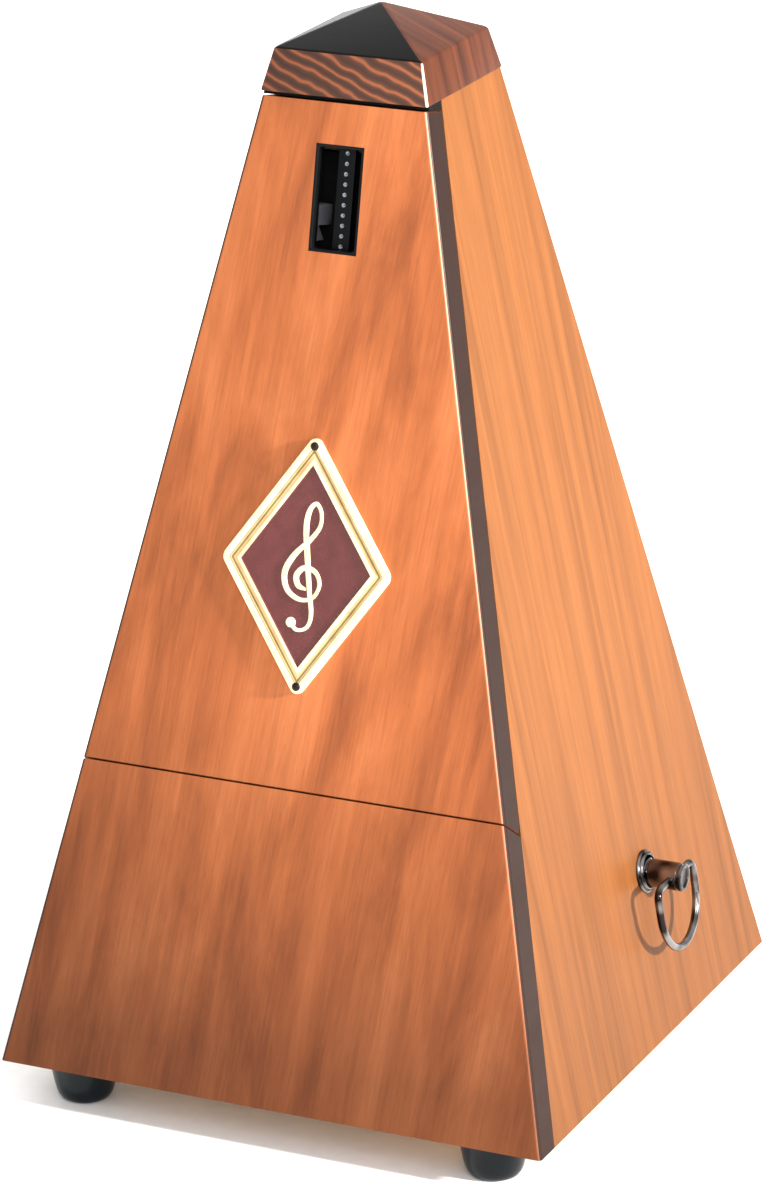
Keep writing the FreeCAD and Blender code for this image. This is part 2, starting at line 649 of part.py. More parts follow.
def drilled(plate, *axes):
    """Bearing holes for arbors, each a pair of axis and shaft radius."""
    holes = [rod(along_x(-40.0, axis), radius + d.running_gap, 90.0) for axis, radius in axes]
    return cut(plate, *holes)


arbors = [(barrel_axis, d.winding_radius), (second_axis, 1.2), (escape_axis, 1.0)]
left_plate = movement_plate(d.left_plate_face, inner_left, d.left_plate_face - FLANGE + d.plate_thick)
keep(cut(drilled(left_plate, *arbors), pillar_screws, movement_screws), "movement_plate_left")
CLICK_PIN = (-10.0, 8.0)  # from the winding axis
CLICK = (barrel_axis[0] + CLICK_PIN[0], barrel_axis[1] + CLICK_PIN[1])
click_screw = keep(
    screw(along_x(d.right_plate_face + 2.7, CLICK), 1.0, 4.2, 2.2, 1.0),
    "click_screw",
)
right_plate = movement_plate(inner_right, d.right_plate_face, inner_right)
keep(
    cut(drilled(right_plate, *arbors), pillar_screws, movement_screws, click_screw),
    "movement_plate_right",
)
pillars = group(*[rod(along_x(inner_left, place), 2.4, inner_right - inner_left) for place in PILLARS])
keep(cut(pillars, pillar_screws), "plate_pillars")


def cock(depth, low):
    """A bridge between the movement plates that carries one end of the pendulum arbor."""
    bridge = box(
        on_face(FRONT, inner_left, low, -depth - d.plate_thick), inner_right - inner_left,
        "Sizes.cock_height", "Sizes.plate_thick",
    )
    hole = rod(arbor_place * at(0, 0, -5), d.pendulum_arbor_radius + d.running_gap, 60.0)
    return cut(bridge, hole)


keep(cock(d.front_cock_depth, 53.0), "front_cock")
keep(cock(d.rear_cock_depth, 54.8), "rear_cock")

# ---------------------------------------------------------------- going train

winding_bore = d.winding_radius + d.running_gap
great_phase = direction(barrel_axis, second_axis)
great_wheel = gear(d.great_teeth, d.great_module, winding_bore, 2.0, great_phase)
keep(shaped(great_wheel, along_x(1.6, barrel_axis)), "great_wheel")
drum_x = 3.6
drum = rod(along_x(drum_x, barrel_axis), "Sizes.drum_radius", "Sizes.drum_length")
hollow = rod(along_x(drum_x - 1, barrel_axis), "Sizes.drum_radius - 1", "Sizes.drum_length - 0.2")
arbor_hole = rod(along_x(-40.0, barrel_axis), "Sizes.winding_radius + Sizes.running_gap", 90.0)
keep(cut(drum, hollow, arbor_hole), "spring_barrel")
lid = rod(along_x(drum_x, barrel_axis), "Sizes.drum_radius - 1", 1.2)
keep(cut(lid, arbor_hole), "barrel_lid")


def spiral(inner_radius, outer_radius, thickness, pitch, height):
    """A coiled strip of half-turn arcs about two centres half a pitch apart."""
    half_turns = int((outer_radius - inner_radius) / (pitch / 2))
    rails = []
    for shift in (0.0, thickness):
        edges = []
        for half in range(half_turns):
            side = 1 if half % 2 == 0 else -1
            centre = 0.0 if half % 2 == 0 else pitch / 2
            radius = inner_radius + shift + half * pitch / 2
            start = Vector(centre + side * radius, 0, 0)
            middle = Vector(centre, side * radius, 0)
            end = Vector(centre - side * radius, 0, 0)
            edges.append(Part.Arc(start, middle, end).toShape())
        rails.append(edges)
    inner, outer = rails
    first = Part.LineSegment(inner[0].Vertexes[0].Point, outer[0].Vertexes[0].Point).toShape()
    last = Part.LineSegment(inner[-1].Vertexes[-1].Point, outer[-1].Vertexes[-1].Point).toShape()
    outline = Part.Wire(Part.__sortEdges__(inner + outer + [first, last]))
    return Part.Face(outline).extrude(Vector(0, 0, height))


keep(shaped(spiral(3.4, 13.2, 0.35, 1.2, 10.8), along_x(drum_x + 1.5, barrel_axis)), "mainspring")

pinion_phase = 180.0 / d.pinion_teeth
second_pinion = gear(
    d.pinion_teeth, d.great_module, 1.2, 5.0, direction(barrel_axis, second_axis) + 180 + pinion_phase
)
keep(shaped(second_pinion, along_x(-0.2, second_axis)), "intermediate_pinion")
second_wheel = gear(d.second_teeth, d.second_module, 1.2, 1.5, direction(second_axis, escape_axis))
openings = [
    Part.makeCylinder(3.4, 4, Vector(8.2 * math.cos(turn), 8.2 * math.sin(turn), -1))
    for turn in (math.radians(90 * quarter) for quarter in range(4))
]
keep(shaped(second_wheel.cut(openings), along_x(-11.5, second_axis)), "intermediate_wheel")
frame_width = d.right_plate_face - d.left_plate_face
keep(rod(along_x(d.left_plate_face, second_axis), 1.2, frame_width), "intermediate_arbor")
keep(rod(along_x(d.left_plate_face, escape_axis), 1.0, frame_width), "escape_arbor")
escape_pinion = gear(
    d.pinion_teeth, d.second_module, 1.0, 5.0, direction(second_axis, escape_axis) + 180 + pinion_phase
)
keep(shaped(escape_pinion, along_x(-13.2, escape_axis)), "escape_pinion")


def crown_wheel():
    """A cup with pointed teeth that stand out of its rim."""
    wall, rim, tip = 1.0, 2.4, 4.2
    cup = Part.makeCylinder(d.crown_radius, rim)
    cup = cup.cut(Part.makeCylinder(d.crown_radius - wall, rim, Vector(0, 0, wall)))
    profile = [(-1.2, rim - 0.2), (1.0, rim - 0.2), (1.0, tip), (0.6, tip)]
    corners = [Vector(d.crown_radius - wall, y, z) for y, z in profile + profile[:1]]
    tooth = Part.Face(Part.makePolygon(corners)).extrude(Vector(0.9 * wall, 0, 0))
    for index in range(int(d.crown_teeth)):
        copy = tooth.copy()
        copy.rotate(Vector(), Vector(0, 0, 1), index * 360 / d.crown_teeth)
        cup = cup.fuse(copy)
    return cup.cut(Part.makeCylinder(1.0, 10, Vector(0, 0, -1))).removeSplitter()


keep(shaped(crown_wheel(), along_x(-2.4 - 4.2, escape_axis)), "escape_wheel")

# ---------------------------------------------------------------- winding work and key

THREAD = 6.0
sleeve_start = panel_outside - d.key_sink
winding_steps = [
    (plain(0.0), plain(d.left_plate_face - 1.5)),
    (of("winding_radius"), plain(d.left_plate_face - 1.5)),
    (of("winding_radius"), plain(sleeve_start)),
    (plain(1.5), plain(sleeve_start)),
    (plain(1.5), plain(sleeve_start + THREAD)),
    (plain(0.0), plain(sleeve_start + THREAD)),
]
keep(turned(along_x(0, barrel_axis), winding_steps), "winding_arbor")


def ratchet():
    """Saw teeth: each rises from root to tip and drops back along a radius."""
    points = []
    step = 2 * math.pi / d.ratchet_teeth
    for tooth in range(int(d.ratchet_teeth)):
        angle = tooth * step
        points.append(Vector(d.ratchet_root * math.cos(angle), d.ratchet_root * math.sin(angle), 0))
        tip = angle + step
        points.append(Vector(d.ratchet_radius * math.cos(tip), d.ratchet_radius * math.sin(tip), 0))
    wheel = Part.Face(Part.makePolygon(points + points[:1])).extrude(Vector(0, 0, 2.0))
    return wheel.cut(Part.makeCylinder(d.winding_radius, 2.0))


keep(shaped(ratchet(), along_x(d.right_plate_face + 0.5, barrel_axis)), "ratchet_wheel")

CLICK_THICK = 1.8
toe = [(-0.15, 6.85), (-0.15, 8.6), (-9.5, 10.4), (-9.5, 5.6), (-4.6, 7.7)]
outline = Part.makePolygon([Vector(y, z, 0) for y, z in toe + toe[:1]])
lever = Part.Face(outline).extrude(Vector(0, 0, CLICK_THICK))
eye = Part.makeCylinder(2.5, CLICK_THICK, Vector(*CLICK_PIN, 0))
eye_hole = Part.makeCylinder(1.0 + d.running_gap, CLICK_THICK, Vector(*CLICK_PIN, 0))
keep(shaped(lever.fuse(eye).cut(eye_hole), along_x(d.right_plate_face + 0.6, barrel_axis)), "click")
WASHER_THICK = 0.25
spring_steps = [
    (plain(1.3), plain(0.0)),
    (plain(1.9), plain(0.0)),
    (plain(1.9), plain(WASHER_THICK)),
    (plain(1.3), plain(WASHER_THICK)),
]
keep(turned(along_x(d.right_plate_face + 2.42, CLICK), spring_steps), "click_spring")

key_steps = [
    (plain(1.5), plain(sleeve_start)),
    (of("key_radius"), plain(sleeve_start)),
    (of("key_radius"), plain(key_end - 0.4)),
    (of("key_radius", 1.0, -0.4), plain(key_end)),
    (plain(0.0), plain(key_end)),
    (plain(0.0), plain(sleeve_start + THREAD)),
    (plain(1.5), plain(sleeve_start + THREAD)),
]
cross_place = at(bail_x, d.key_back - 10, d.key_height, Rotation(Vector(1, 0, 0), -90))
cross_hole = rod(cross_place, "Sizes.bail_wire + Sizes.running_gap", 20.0)
keep(cut(turned(along_x(0, barrel_axis), key_steps), cross_hole), "key_barrel")


def bail():
    """A D of wire: a straight bar through the key, tight corners, and a round bow."""
    bend = 2.0
    half = d.bail_half_width
    shoulder = d.bail_drop - half
    corner = bend * (1 - math.sqrt(0.5))

    def on_wire(y, z):
        return Vector(bail_x, d.key_back + y, d.key_height + z)
    edges = [
        Part.LineSegment(on_wire(bend - half, 0), on_wire(half - bend, 0)),
        Part.Arc(on_wire(half - bend, 0), on_wire(half - corner, -corner), on_wire(half, -bend)),
        Part.LineSegment(on_wire(half, -bend), on_wire(half, -shoulder)),
        Part.Arc(on_wire(half, -shoulder), on_wire(0, -d.bail_drop), on_wire(-half, -shoulder)),
        Part.LineSegment(on_wire(-half, -shoulder), on_wire(-half, -bend)),
        Part.Arc(on_wire(-half, -bend), on_wire(corner - half, -corner), on_wire(bend - half, 0)),
    ]
    path = Part.Wire([edge.toShape() for edge in edges])
    section = Part.Wire(Part.makeCircle(d.bail_wire, on_wire(bend - half, 0), Vector(0, 1, 0)))
    return path.makePipeShell([section], True, False, 1)


bail_lean = Rotation(Vector(0, -1, 0), d.bail_rest)
bail_place = Placement(Vector(), bail_lean, Vector(bail_x, d.key_back, d.key_height))
keep(shaped(bail(), bail_place), "key_bail")

rosette_place = on_face(RIGHT, d.key_back, (d.key_height - d.foot_height) / RISE, 0)
rosette = rod(rosette_place, "Sizes.rosette_radius", "Sizes.rosette_thick")
rosette_hole = rod(along_x(30.0, barrel_axis), "Sizes.key_radius + 0.3", 40.0)
keep(cut(rosette, rosette_hole), "key_rosette")

# ---------------------------------------------------------------- check and write

doc.recompute()
for item in doc.Objects:
    if any(state in item.State for state in ("Invalid", "Error")):
        raise RuntimeError(f"{item.Label} {item.Name} {item.State}")
os.makedirs("parts", exist_ok=True)
for item in nodes:
    if item.Shape.isNull() or not item.Shape.isValid():
        raise RuntimeError(f"{item.Label} has no valid shape")
    item.Shape.exportStep(f"parts/{item.Label}.step")
    print(f"{item.Label:24s} {len(item.Shape.Solids):2d} solids {item.Shape.Volume:10.1f} mm3")
print(len(nodes), "nodes")
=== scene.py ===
"""Studio scene of a pyramid metronome: a lacquered wooden case with a clockwork and a weighted pendulum inside.

Everything is in metres. The carried-over parts keep their shape and get a finish; the parts that need finer
detail are built here and take the place of the plain ones.
"""

import logging
import math
from dataclasses import dataclass, field, replace
from enum import Enum
from typing import Optional, Sequence, Union

import bmesh
import bpy
from mathutils import Matrix, Vector

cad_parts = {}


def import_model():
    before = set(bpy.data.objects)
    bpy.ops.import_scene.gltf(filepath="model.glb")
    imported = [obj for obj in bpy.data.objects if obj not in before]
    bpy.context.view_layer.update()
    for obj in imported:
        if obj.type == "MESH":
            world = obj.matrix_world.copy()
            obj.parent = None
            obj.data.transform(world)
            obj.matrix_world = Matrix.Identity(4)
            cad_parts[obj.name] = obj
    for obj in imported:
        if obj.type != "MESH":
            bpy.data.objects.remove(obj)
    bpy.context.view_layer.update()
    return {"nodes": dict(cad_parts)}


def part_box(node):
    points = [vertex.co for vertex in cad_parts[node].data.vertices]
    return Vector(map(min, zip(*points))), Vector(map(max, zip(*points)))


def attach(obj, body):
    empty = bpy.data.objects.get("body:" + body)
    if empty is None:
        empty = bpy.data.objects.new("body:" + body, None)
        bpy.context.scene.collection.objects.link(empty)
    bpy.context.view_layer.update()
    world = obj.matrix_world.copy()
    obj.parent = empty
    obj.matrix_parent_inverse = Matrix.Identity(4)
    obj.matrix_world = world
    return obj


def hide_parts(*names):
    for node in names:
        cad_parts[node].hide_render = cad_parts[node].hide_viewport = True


LOG = logging.getLogger("metronome")
MM = 0.001
Socket = bpy.types.NodeSocket
Node = bpy.types.Node
Tree = bpy.types.NodeTree
Value = Union[float, Sequence[float], Socket, Node]
Parts = dict[str, bpy.types.Object]


# ---------------------------------------------------------------- small helpers


def linear(code: str) -> tuple[float, float, float, float]:
    """Turn an sRGB hex colour into linear light.

    Args:
        code: a colour such as "#C87850".

    Returns:
        Red, green, blue and a full alpha, each from 0 to 1.
    """
    parts = [int(code[place:place + 2], 16) / 255 for place in (1, 3, 5)]
    lit = [part / 12.92 if part <= 0.04045 else ((part + 0.055) / 1.055) ** 2.4 for part in parts]
    return (lit[0], lit[1], lit[2], 1.0)


def add(
    tree: Tree, kind: str, inputs: Optional[dict[Union[str, int], Value]] = None,
    stops: Sequence[tuple[float, Union[str, float]]] = (), **settings: object,
) -> Node:
    """Add a node with its settings and links.

    Args:
        tree: the tree that the node goes into.
        kind: the node's type name, without "ShaderNode".
        inputs: for each socket, a number, a colour, or the socket or node that feeds it; a node feeds it by its
            first output.
        stops: for a ramp, pairs of a place from 0 to 1 and a hex colour or a grey level.
        settings: the node's own properties.

    Returns:
        The new node.
    """
    node = tree.nodes.new("ShaderNode" + kind)
    for name, setting in settings.items():
        setattr(node, name, setting)
    for name, value in (inputs or {}).items():
        if isinstance(value, Node):
            value = value.outputs[0]
        if isinstance(value, Socket):
            tree.links.new(value, node.inputs[name])
        else:
            node.inputs[name].default_value = value
    if stops:
        elements = node.color_ramp.elements
        for _ in stops[2:]:
            elements.new(0.5)
        for element, (place, tone) in zip(elements, stops):
            element.position = place
            element.color = linear(tone) if isinstance(tone, str) else (tone, tone, tone, 1.0)
    return node


class Face(Enum):
    """A sloping face of the case, as quarter turns from the front."""

    FRONT = 0
    RIGHT = 1


@dataclass(frozen=True)
class Pyramid:
    """The outer form of the case, which the parts on its faces are placed by."""

    base: float = 118.0 * MM
    top: float = 34.8 * MM
    height: float = 194.6 * MM
    foot: float = 9.0 * MM

    @property
    def lean(self) -> float:
        """The slope of the faces from upright."""
        return math.atan((self.base - self.top) / 2 / self.height)

    def place(self, face: Face, across: float, up: float, out: float) -> Matrix:
        """A place on a face.

        Args:
            face: the face of the case.
            across: distance from its middle.
            up: distance up its slope.
            out: distance out of it.

        Returns:
            A matrix whose X runs across the face, Y up its slope and Z out of it.
        """
        turn = Matrix.Rotation(math.radians(90 * face.value), 4, "Z")
        foot = Matrix.Translation((0, -self.base / 2, self.foot))
        slope = Matrix.Rotation(math.radians(90) - self.lean, 4, "X")
        return turn @ foot @ slope @ Matrix.Translation((across, up, out))


CASE = Pyramid()


# ---------------------------------------------------------------- mesh work


class Solid:
    """A mesh under construction, with a few ways to add closed forms to it."""

    def __init__(self) -> None:
        """Start an empty mesh."""
        self.mesh = bmesh.new()

    def skin(self, loops: Sequence[Sequence[Vector]], closed: bool = False, tones: Sequence[int] = ()) -> None:
        """Join rings of equal length into a surface.

        Args:
            loops: the rings, each a list of points in order.
            closed: True to join the last ring to the first; otherwise both ends are capped.
            tones: the material number of each band between two rings.
        """
        rings = [[self.mesh.verts.new(point) for point in loop] for loop in loops]
        pairs = list(zip(rings, rings[1:])) + ([(rings[-1], rings[0])] if closed else [])
        for number, (low, high) in enumerate(pairs):
            for side in range(len(low)):
                after = (side + 1) % len(low)
                made = self.mesh.faces.new((low[side], low[after], high[after], high[side]))
                made.material_index = tones[number] if number < len(tones) else 0
        if not closed:
            self.mesh.faces.new(list(reversed(rings[0])))
            last = self.mesh.faces.new(rings[-1])
            last.material_index = tones[-1] if tones else 0

    def lathe(
        self, profile: Sequence[tuple[float, float]], steps: int = 48, closed: bool = False,
        place: Matrix = Matrix.Identity(4),
    ) -> None:
        """Turn a profile about Z.

        Args:
            profile: pairs of radius and height, in millimetres.
            steps: divisions round the axis.
            closed: True for a ring with a bore, whose profile goes all the way round.
            place: where it goes.
        """
        turns = [math.tau * step / steps for step in range(steps)]
        loops = [[Vector((r * math.cos(t), r * math.sin(t), z)) * MM for t in turns] for r, z in profile]
        self.skin([[place @ point for point in loop] for loop in loops], closed)

    def tube(self, path: Sequence[Vector], radius: float, steps: int = 14) -> None:
        """Sweep a round wire along a closed path that lies in one plane.

        Args:
            path: the middle of the wire.
            radius: the wire's radius.
            steps: divisions round the wire.
        """
        normal = (path[len(path) // 3] - path[0]).cross(path[2 * len(path) // 3] - path[0]).normalized()
        loops = []
        for place, middle in enumerate(path):
            along = (path[(place + 1) % len(path)] - path[place - 1]).normalized()
            aside = along.cross(normal).normalized()
            turns = [math.tau * step / steps for step in range(steps)]
            loops.append([middle + radius * (aside * math.cos(t) + normal * math.sin(t)) for t in turns])
        self.skin(loops, closed=True)

    def ribbon(self, path: Sequence[Vector], widths: Sequence[float], height: float) -> None:
        """Lay a flat, slightly domed strip along a path in the XY plane.

        Args:
            path: the middle of the strip.
            widths: its half width at each point.
            height: how far it stands up.
        """
        section = ((-1.0, 0.0), (-0.85, 0.8), (0.0, 1.0), (0.85, 0.8), (1.0, 0.0))
        loops = []
        for place, middle in enumerate(path):
            ahead, behind = path[min(place + 1, len(path) - 1)], path[max(place - 1, 0)]
            along = (ahead - behind).normalized()
            aside = Vector((-along.y, along.x, 0))
            width = widths[place]
            loops.append([middle + aside * (width * x) + Vector((0, 0, height * z)) for x, z in section])
        self.skin(loops)

    def bevel(self, width: float, segments: int = 3, least_angle: float = 10.0) -> None:
        """Round every outward edge that bends by more than an angle.

        Args:
            width: the rounding.
            segments: facets across it.
            least_angle: the bend, in degrees, from which an edge is rounded.
        """
        bmesh.ops.recalc_face_normals(self.mesh, faces=self.mesh.faces)
        least = math.radians(least_angle)
        bent = [edge for edge in self.mesh.edges if edge.is_convex and edge.calc_face_angle(0.0) > least]
        bmesh.ops.bevel(
            self.mesh, geom=bent, offset=width, segments=segments, profile=0.5, affect="EDGES",
            clamp_overlap=True,
        )

    def piece(
        self, name: str, body: str, finishes: Sequence["Finish"], place: Matrix = Matrix.Identity(4),
        node: Optional[str] = None, sharp: float = 35.0,
    ) -> bpy.types.Object:
        """Finish the mesh and hand it over as a piece of the metronome.

        Args:
            name: the piece's name.
            body: the moving part that it rides on.
            finishes: its finishes.
            place: where it goes.
            node: the plain part that it stands for.
            sharp: the bend, in degrees, above which an edge stays sharp.

        Returns:
            The new object.
        """
        bmesh.ops.remove_doubles(self.mesh, verts=self.mesh.verts, dist=1e-7)
        bmesh.ops.recalc_face_normals(self.mesh, faces=self.mesh.faces)
        bmesh.ops.transform(self.mesh, matrix=place, verts=self.mesh.verts)
        self.mesh.normal_update()
        for edge in self.mesh.edges:
            edge.smooth = edge.calc_face_angle(0.0) < math.radians(sharp)
        for made in self.mesh.faces:
            made.smooth = True
        data = bpy.data.meshes.new(name)
        self.mesh.to_mesh(data)
        self.mesh.free()
        for finish in finishes:
            data.materials.append(finish.material())
        item = bpy.data.objects.new(name, data)
        bpy.context.scene.collection.objects.link(item)
        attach(item, body)
        if node:
            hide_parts(node)
        LOG.info("%s rides on %s, %d faces", name, body, len(data.polygons))
        return item


def smooth_path(points: Sequence[tuple[float, float]], steps: int = 8) -> list[Vector]:
    """Draw an even curve through points in a plane.

    Args:
        points: the points to go through.
        steps: divisions between two points.

    Returns:
        Points along the curve.
    """
    flat = [Vector((x, y, 0)) for x, y in points]
    ends = [flat[0] * 2 - flat[1]] + flat + [flat[-1] * 2 - flat[-2]]
    path = []
    for a, b, c, e in zip(ends, ends[1:], ends[2:], ends[3:]):
        for step in range(steps):
            t = step / steps
            bend, twist = 2 * a - 5 * b + 4 * c - e, 3 * b - a - 3 * c + e
            path.append(0.5 * (2 * b + (c - a) * t + bend * t ** 2 + twist * t ** 3))
    return path + [flat[-1]]


# ---------------------------------------------------------------- finishes

OVER = {"data_type": "RGBA", "blend_type": "MIX"}  # settings for a colour laid over another
DEEPEN = {"data_type": "RGBA", "blend_type": "MULTIPLY"}  # and for one that darkens another


class Finish:
    """A surface finish, which makes its material once and then hands out the same one."""

    made: dict[str, bpy.types.Material] = {}
    name: str

    def material(self) -> bpy.types.Material:
        """Make the material on first use.

        Returns:
            The material.
        """
        if self.name not in Finish.made:
            material = bpy.data.materials.new(self.name)
            material.use_nodes = True
            tree = material.node_tree
            tree.nodes.clear()
            shader = self.shade(tree)
            add(tree, "OutputMaterial", {"Surface": shader})
            Finish.made[self.name] = material
        return Finish.made[self.name]

    def shade(self, tree: Tree) -> Node:
        """Build the surface shader; each finish has its own."""
        raise NotImplementedError


def dress(nodes: Parts, finishes: dict[Finish, str]) -> None:
    """Assign finishes to carried-over parts.

    Args:
        nodes: the carried-over parts by name.
        finishes: for each finish, the names of its parts.
    """
    for finish, names in finishes.items():
        for name in names.split():
            data = nodes[name].data
            data.materials.clear()
            data.materials.append(finish.material())
            LOG.info("%s is finished in %s", name, finish.name)


def stretched(tree: Tree, size: Sequence[float], turn: Sequence[float] = (0, 0, 0)) -> Node:
    """Object coordinates counted in grains of a given size.

    Args:
        tree: the tree that the nodes go into.
        size: the grain's size along X, Y and Z, in millimetres.
        turn: a turn of the pattern about the three axes, in degrees.

    Returns:
        The coordinates.
    """
    where = add(tree, "TexCoord").outputs["Object"]
    turned = add(tree, "Mapping", {"Vector": where, "Rotation": [math.radians(angle) for angle in turn]})
    counts = [1 / (length * MM) for length in size]
    return add(tree, "Mapping", {"Vector": turned, "Scale": counts})


@dataclass(frozen=True)
class LacqueredWood(Finish):
    """Sapele, sliced along the grain, stained and sprayed with satin lacquer: streaked, softly glossy."""

    name: str
    dark: str
    middle: str
    pale: str
    across: str = "X"  # the axis that runs across the grain
    streak: float = 11.0  # width of the broad streaks, mm
    length: float = 85.0  # and how far they run, mm
    slant: float = 0.0  # how far the grain leans from upright, degrees
    spread: float = 0.2  # a wider spread makes the streaks fainter
    pore_stain: float = 0.22  # how much of the dark colour the pores hold
    base_shade: float = 1.0  # painted shade: how much of its brightness the wood keeps at the foot of the case
    shaded: tuple[float, float] = (18 * MM, 88 * MM)  # the heights over which the painted shade fades out
    gloss: tuple[float, float] = (0.4, 0.56)

    def grain(self, tree: Tree, width: float, length: float) -> Node:
        """Coordinates that run long up the grain and short across it; depth below the face hardly counts.

        Args:
            tree: the tree that the nodes go into.
            width: size of a grain across, in millimetres.
            length: its size up the grain.

        Returns:
            The coordinates.
        """
        deep = 900.0
        if self.across == "X":
            return stretched(tree, (width, deep, length), (0, self.slant, 0))
        return stretched(tree, (deep, width, length), (self.slant, 0, 0))

    def stains(self, tree: Tree, colour: Socket) -> Socket:
        """Stains and painted light that only some faces carry; plain panels have none."""
        return colour

    def shade(self, tree: Tree) -> Node:
        """Streaks, fibres and pores, with the stains and painted light on top.

        Args:
            tree: the material's tree.

        Returns:
            The surface shader.
        """
        broad, rings, fibres, pores = (
            add(
                tree, "TexNoise",
                {"Vector": self.grain(tree, width, length), "Scale": 1.0, "Detail": detail, "Roughness": rough,
                 "Distortion": bend},
            )
            for width, length, detail, rough, bend in (
                (self.streak, self.length, 6.0, 0.58, 0.5),
                # stripes from the growth rings, 2 mm wide and long
                (2.2, 110, 3.0, 0.6, 0.0),
                # fibres are about 0.5 mm wide and 14 mm long; finer ones would not show
                (0.5, 14, 3.0, 0.7, 0.0),
                # open pores: dashes 0.3 mm wide and 3 mm long that hold the stain
                (0.32, 3.2, 2.0, 0.5, 0.0),
            )
        )
        tones = [(0.5 - self.spread, self.dark), (0.5, self.middle), (0.5 + self.spread, self.pale)]
        colour = add(tree, "ValToRGB", {"Fac": broad}, tones)
        for noise, low, high, darkest, share in ((rings, 0.3, 0.65, 0.8, 0.8), (fibres, 0.3, 0.7, 0.8, 1.0)):
            lines = add(tree, "ValToRGB", {"Fac": noise}, [(low, darkest), (high, 1.0)])
            colour = add(tree, "Mix", {0: share, 6: colour, 7: lines}, **DEEPEN).outputs[2]
        dashes = add(tree, "ValToRGB", {"Fac": pores}, [(0.62, 0.0), (0.72, 1.0)])
        share = add(tree, "Math", {0: dashes, 1: self.pore_stain}, operation="MULTIPLY")
        colour = add(tree, "Mix", {0: share, 6: colour, 7: linear(self.dark)}, **OVER).outputs[2]
        # painted shade, darker towards the foot of the case
        if self.base_shade < 1.0:
            height = add(tree, "SeparateXYZ", {0: add(tree, "TexCoord").outputs["Object"]}).outputs["Z"]
            low, high = self.shaded
            climb = add(
                tree, "MapRange",
                {"Value": height, "From Min": low, "From Max": high, "To Min": self.base_shade},
            )
            colour = add(tree, "Mix", {0: 1.0, 6: colour, 7: climb}, **DEEPEN).outputs[2]
        colour = self.stains(tree, colour)
        relief = add(tree, "Math", {0: dashes, 1: fibres}, operation="SUBTRACT")
        bump = add(tree, "Bump", {"Height": relief, "Strength": 0.2, "Distance": 0.03 * MM}, invert=True)
        rough = add(tree, "MapRange", {"Value": rings, "To Min": self.gloss[0], "To Max": self.gloss[1]})
        return add(
            tree, "BsdfPrincipled",
            {
                "Base Color": colour, "Roughness": rough, "Normal": bump, "IOR": 1.45,
                "Specular IOR Level": 0.15, "Coat Weight": 0.04, "Coat Roughness": 0.18,
            },
        )


@dataclass(frozen=True)
class EdgedWood(LacqueredWood):
    """The same wood with its sawn side edges stained dark and a painted highlight along the right-hand corner.
    """

    edge: str = "#231008"
    # painted highlight along the right-hand corner
    rubbed: str = "#D8A68E"

    def stains(self, tree: Tree, colour: Socket) -> Socket:
        """Dark-stained side edges, a painted dark reflection on the left corner, painted shade towards the
        left, and a painted highlight on the right corner.

        Args:
            tree: the material's tree.
            colour: the wood's colour so far.

        Returns:
            The colour with the stains and painted light.
        """
        where = add(tree, "TexCoord")
        side = add(tree, "SeparateXYZ", {0: where.outputs["Normal"]}).outputs["X"]
        place = add(tree, "SeparateXYZ", {0: where.outputs["Object"]}).outputs
        shade_towards_left, left, right, corner, highlight_towards_top = (
            add(
                tree, "MapRange",
                {"Value": value, "From Min": start, "From Max": end, "To Min": least, "To Max": most},
            )
            for value, start, end, least, most in (
                (place["X"], -50 * MM, 5 * MM, 0.74, 1.0),  # painted shade, darker on the left and fading out towards the right
                (side, -0.2, -0.45, 0.0, 1.0),  # the dark-stained left edge, with its corner darkened as a painted reflection
                (side, 0.58, 0.66, 0.0, 1.0),  # the right edge without its corner
                (side, 0.25, 0.4, 0.0, 1.0),  # and with it, for the painted highlight
                (place["Z"], 30 * MM, 150 * MM, 0.1, 0.85),  # the painted highlight is brighter towards the top
            )
        )
        # painted shade: the wood is darkened towards the left
        colour = add(tree, "Mix", {0: 1.0, 6: colour, 7: shade_towards_left}, **DEEPEN).outputs[2]
        # painted highlight on the right corner, brighter towards the top
        bright = add(tree, "Math", {0: corner, 1: highlight_towards_top}, operation="MULTIPLY")
        # the side edges are dark stain; the dark on the left corner is a painted reflection
        for share, tone in ((left, self.edge), (bright, self.rubbed), (right, self.edge)):
            colour = add(tree, "Mix", {0: share, 6: colour, 7: linear(tone)}, **OVER).outputs[2]
        return colour


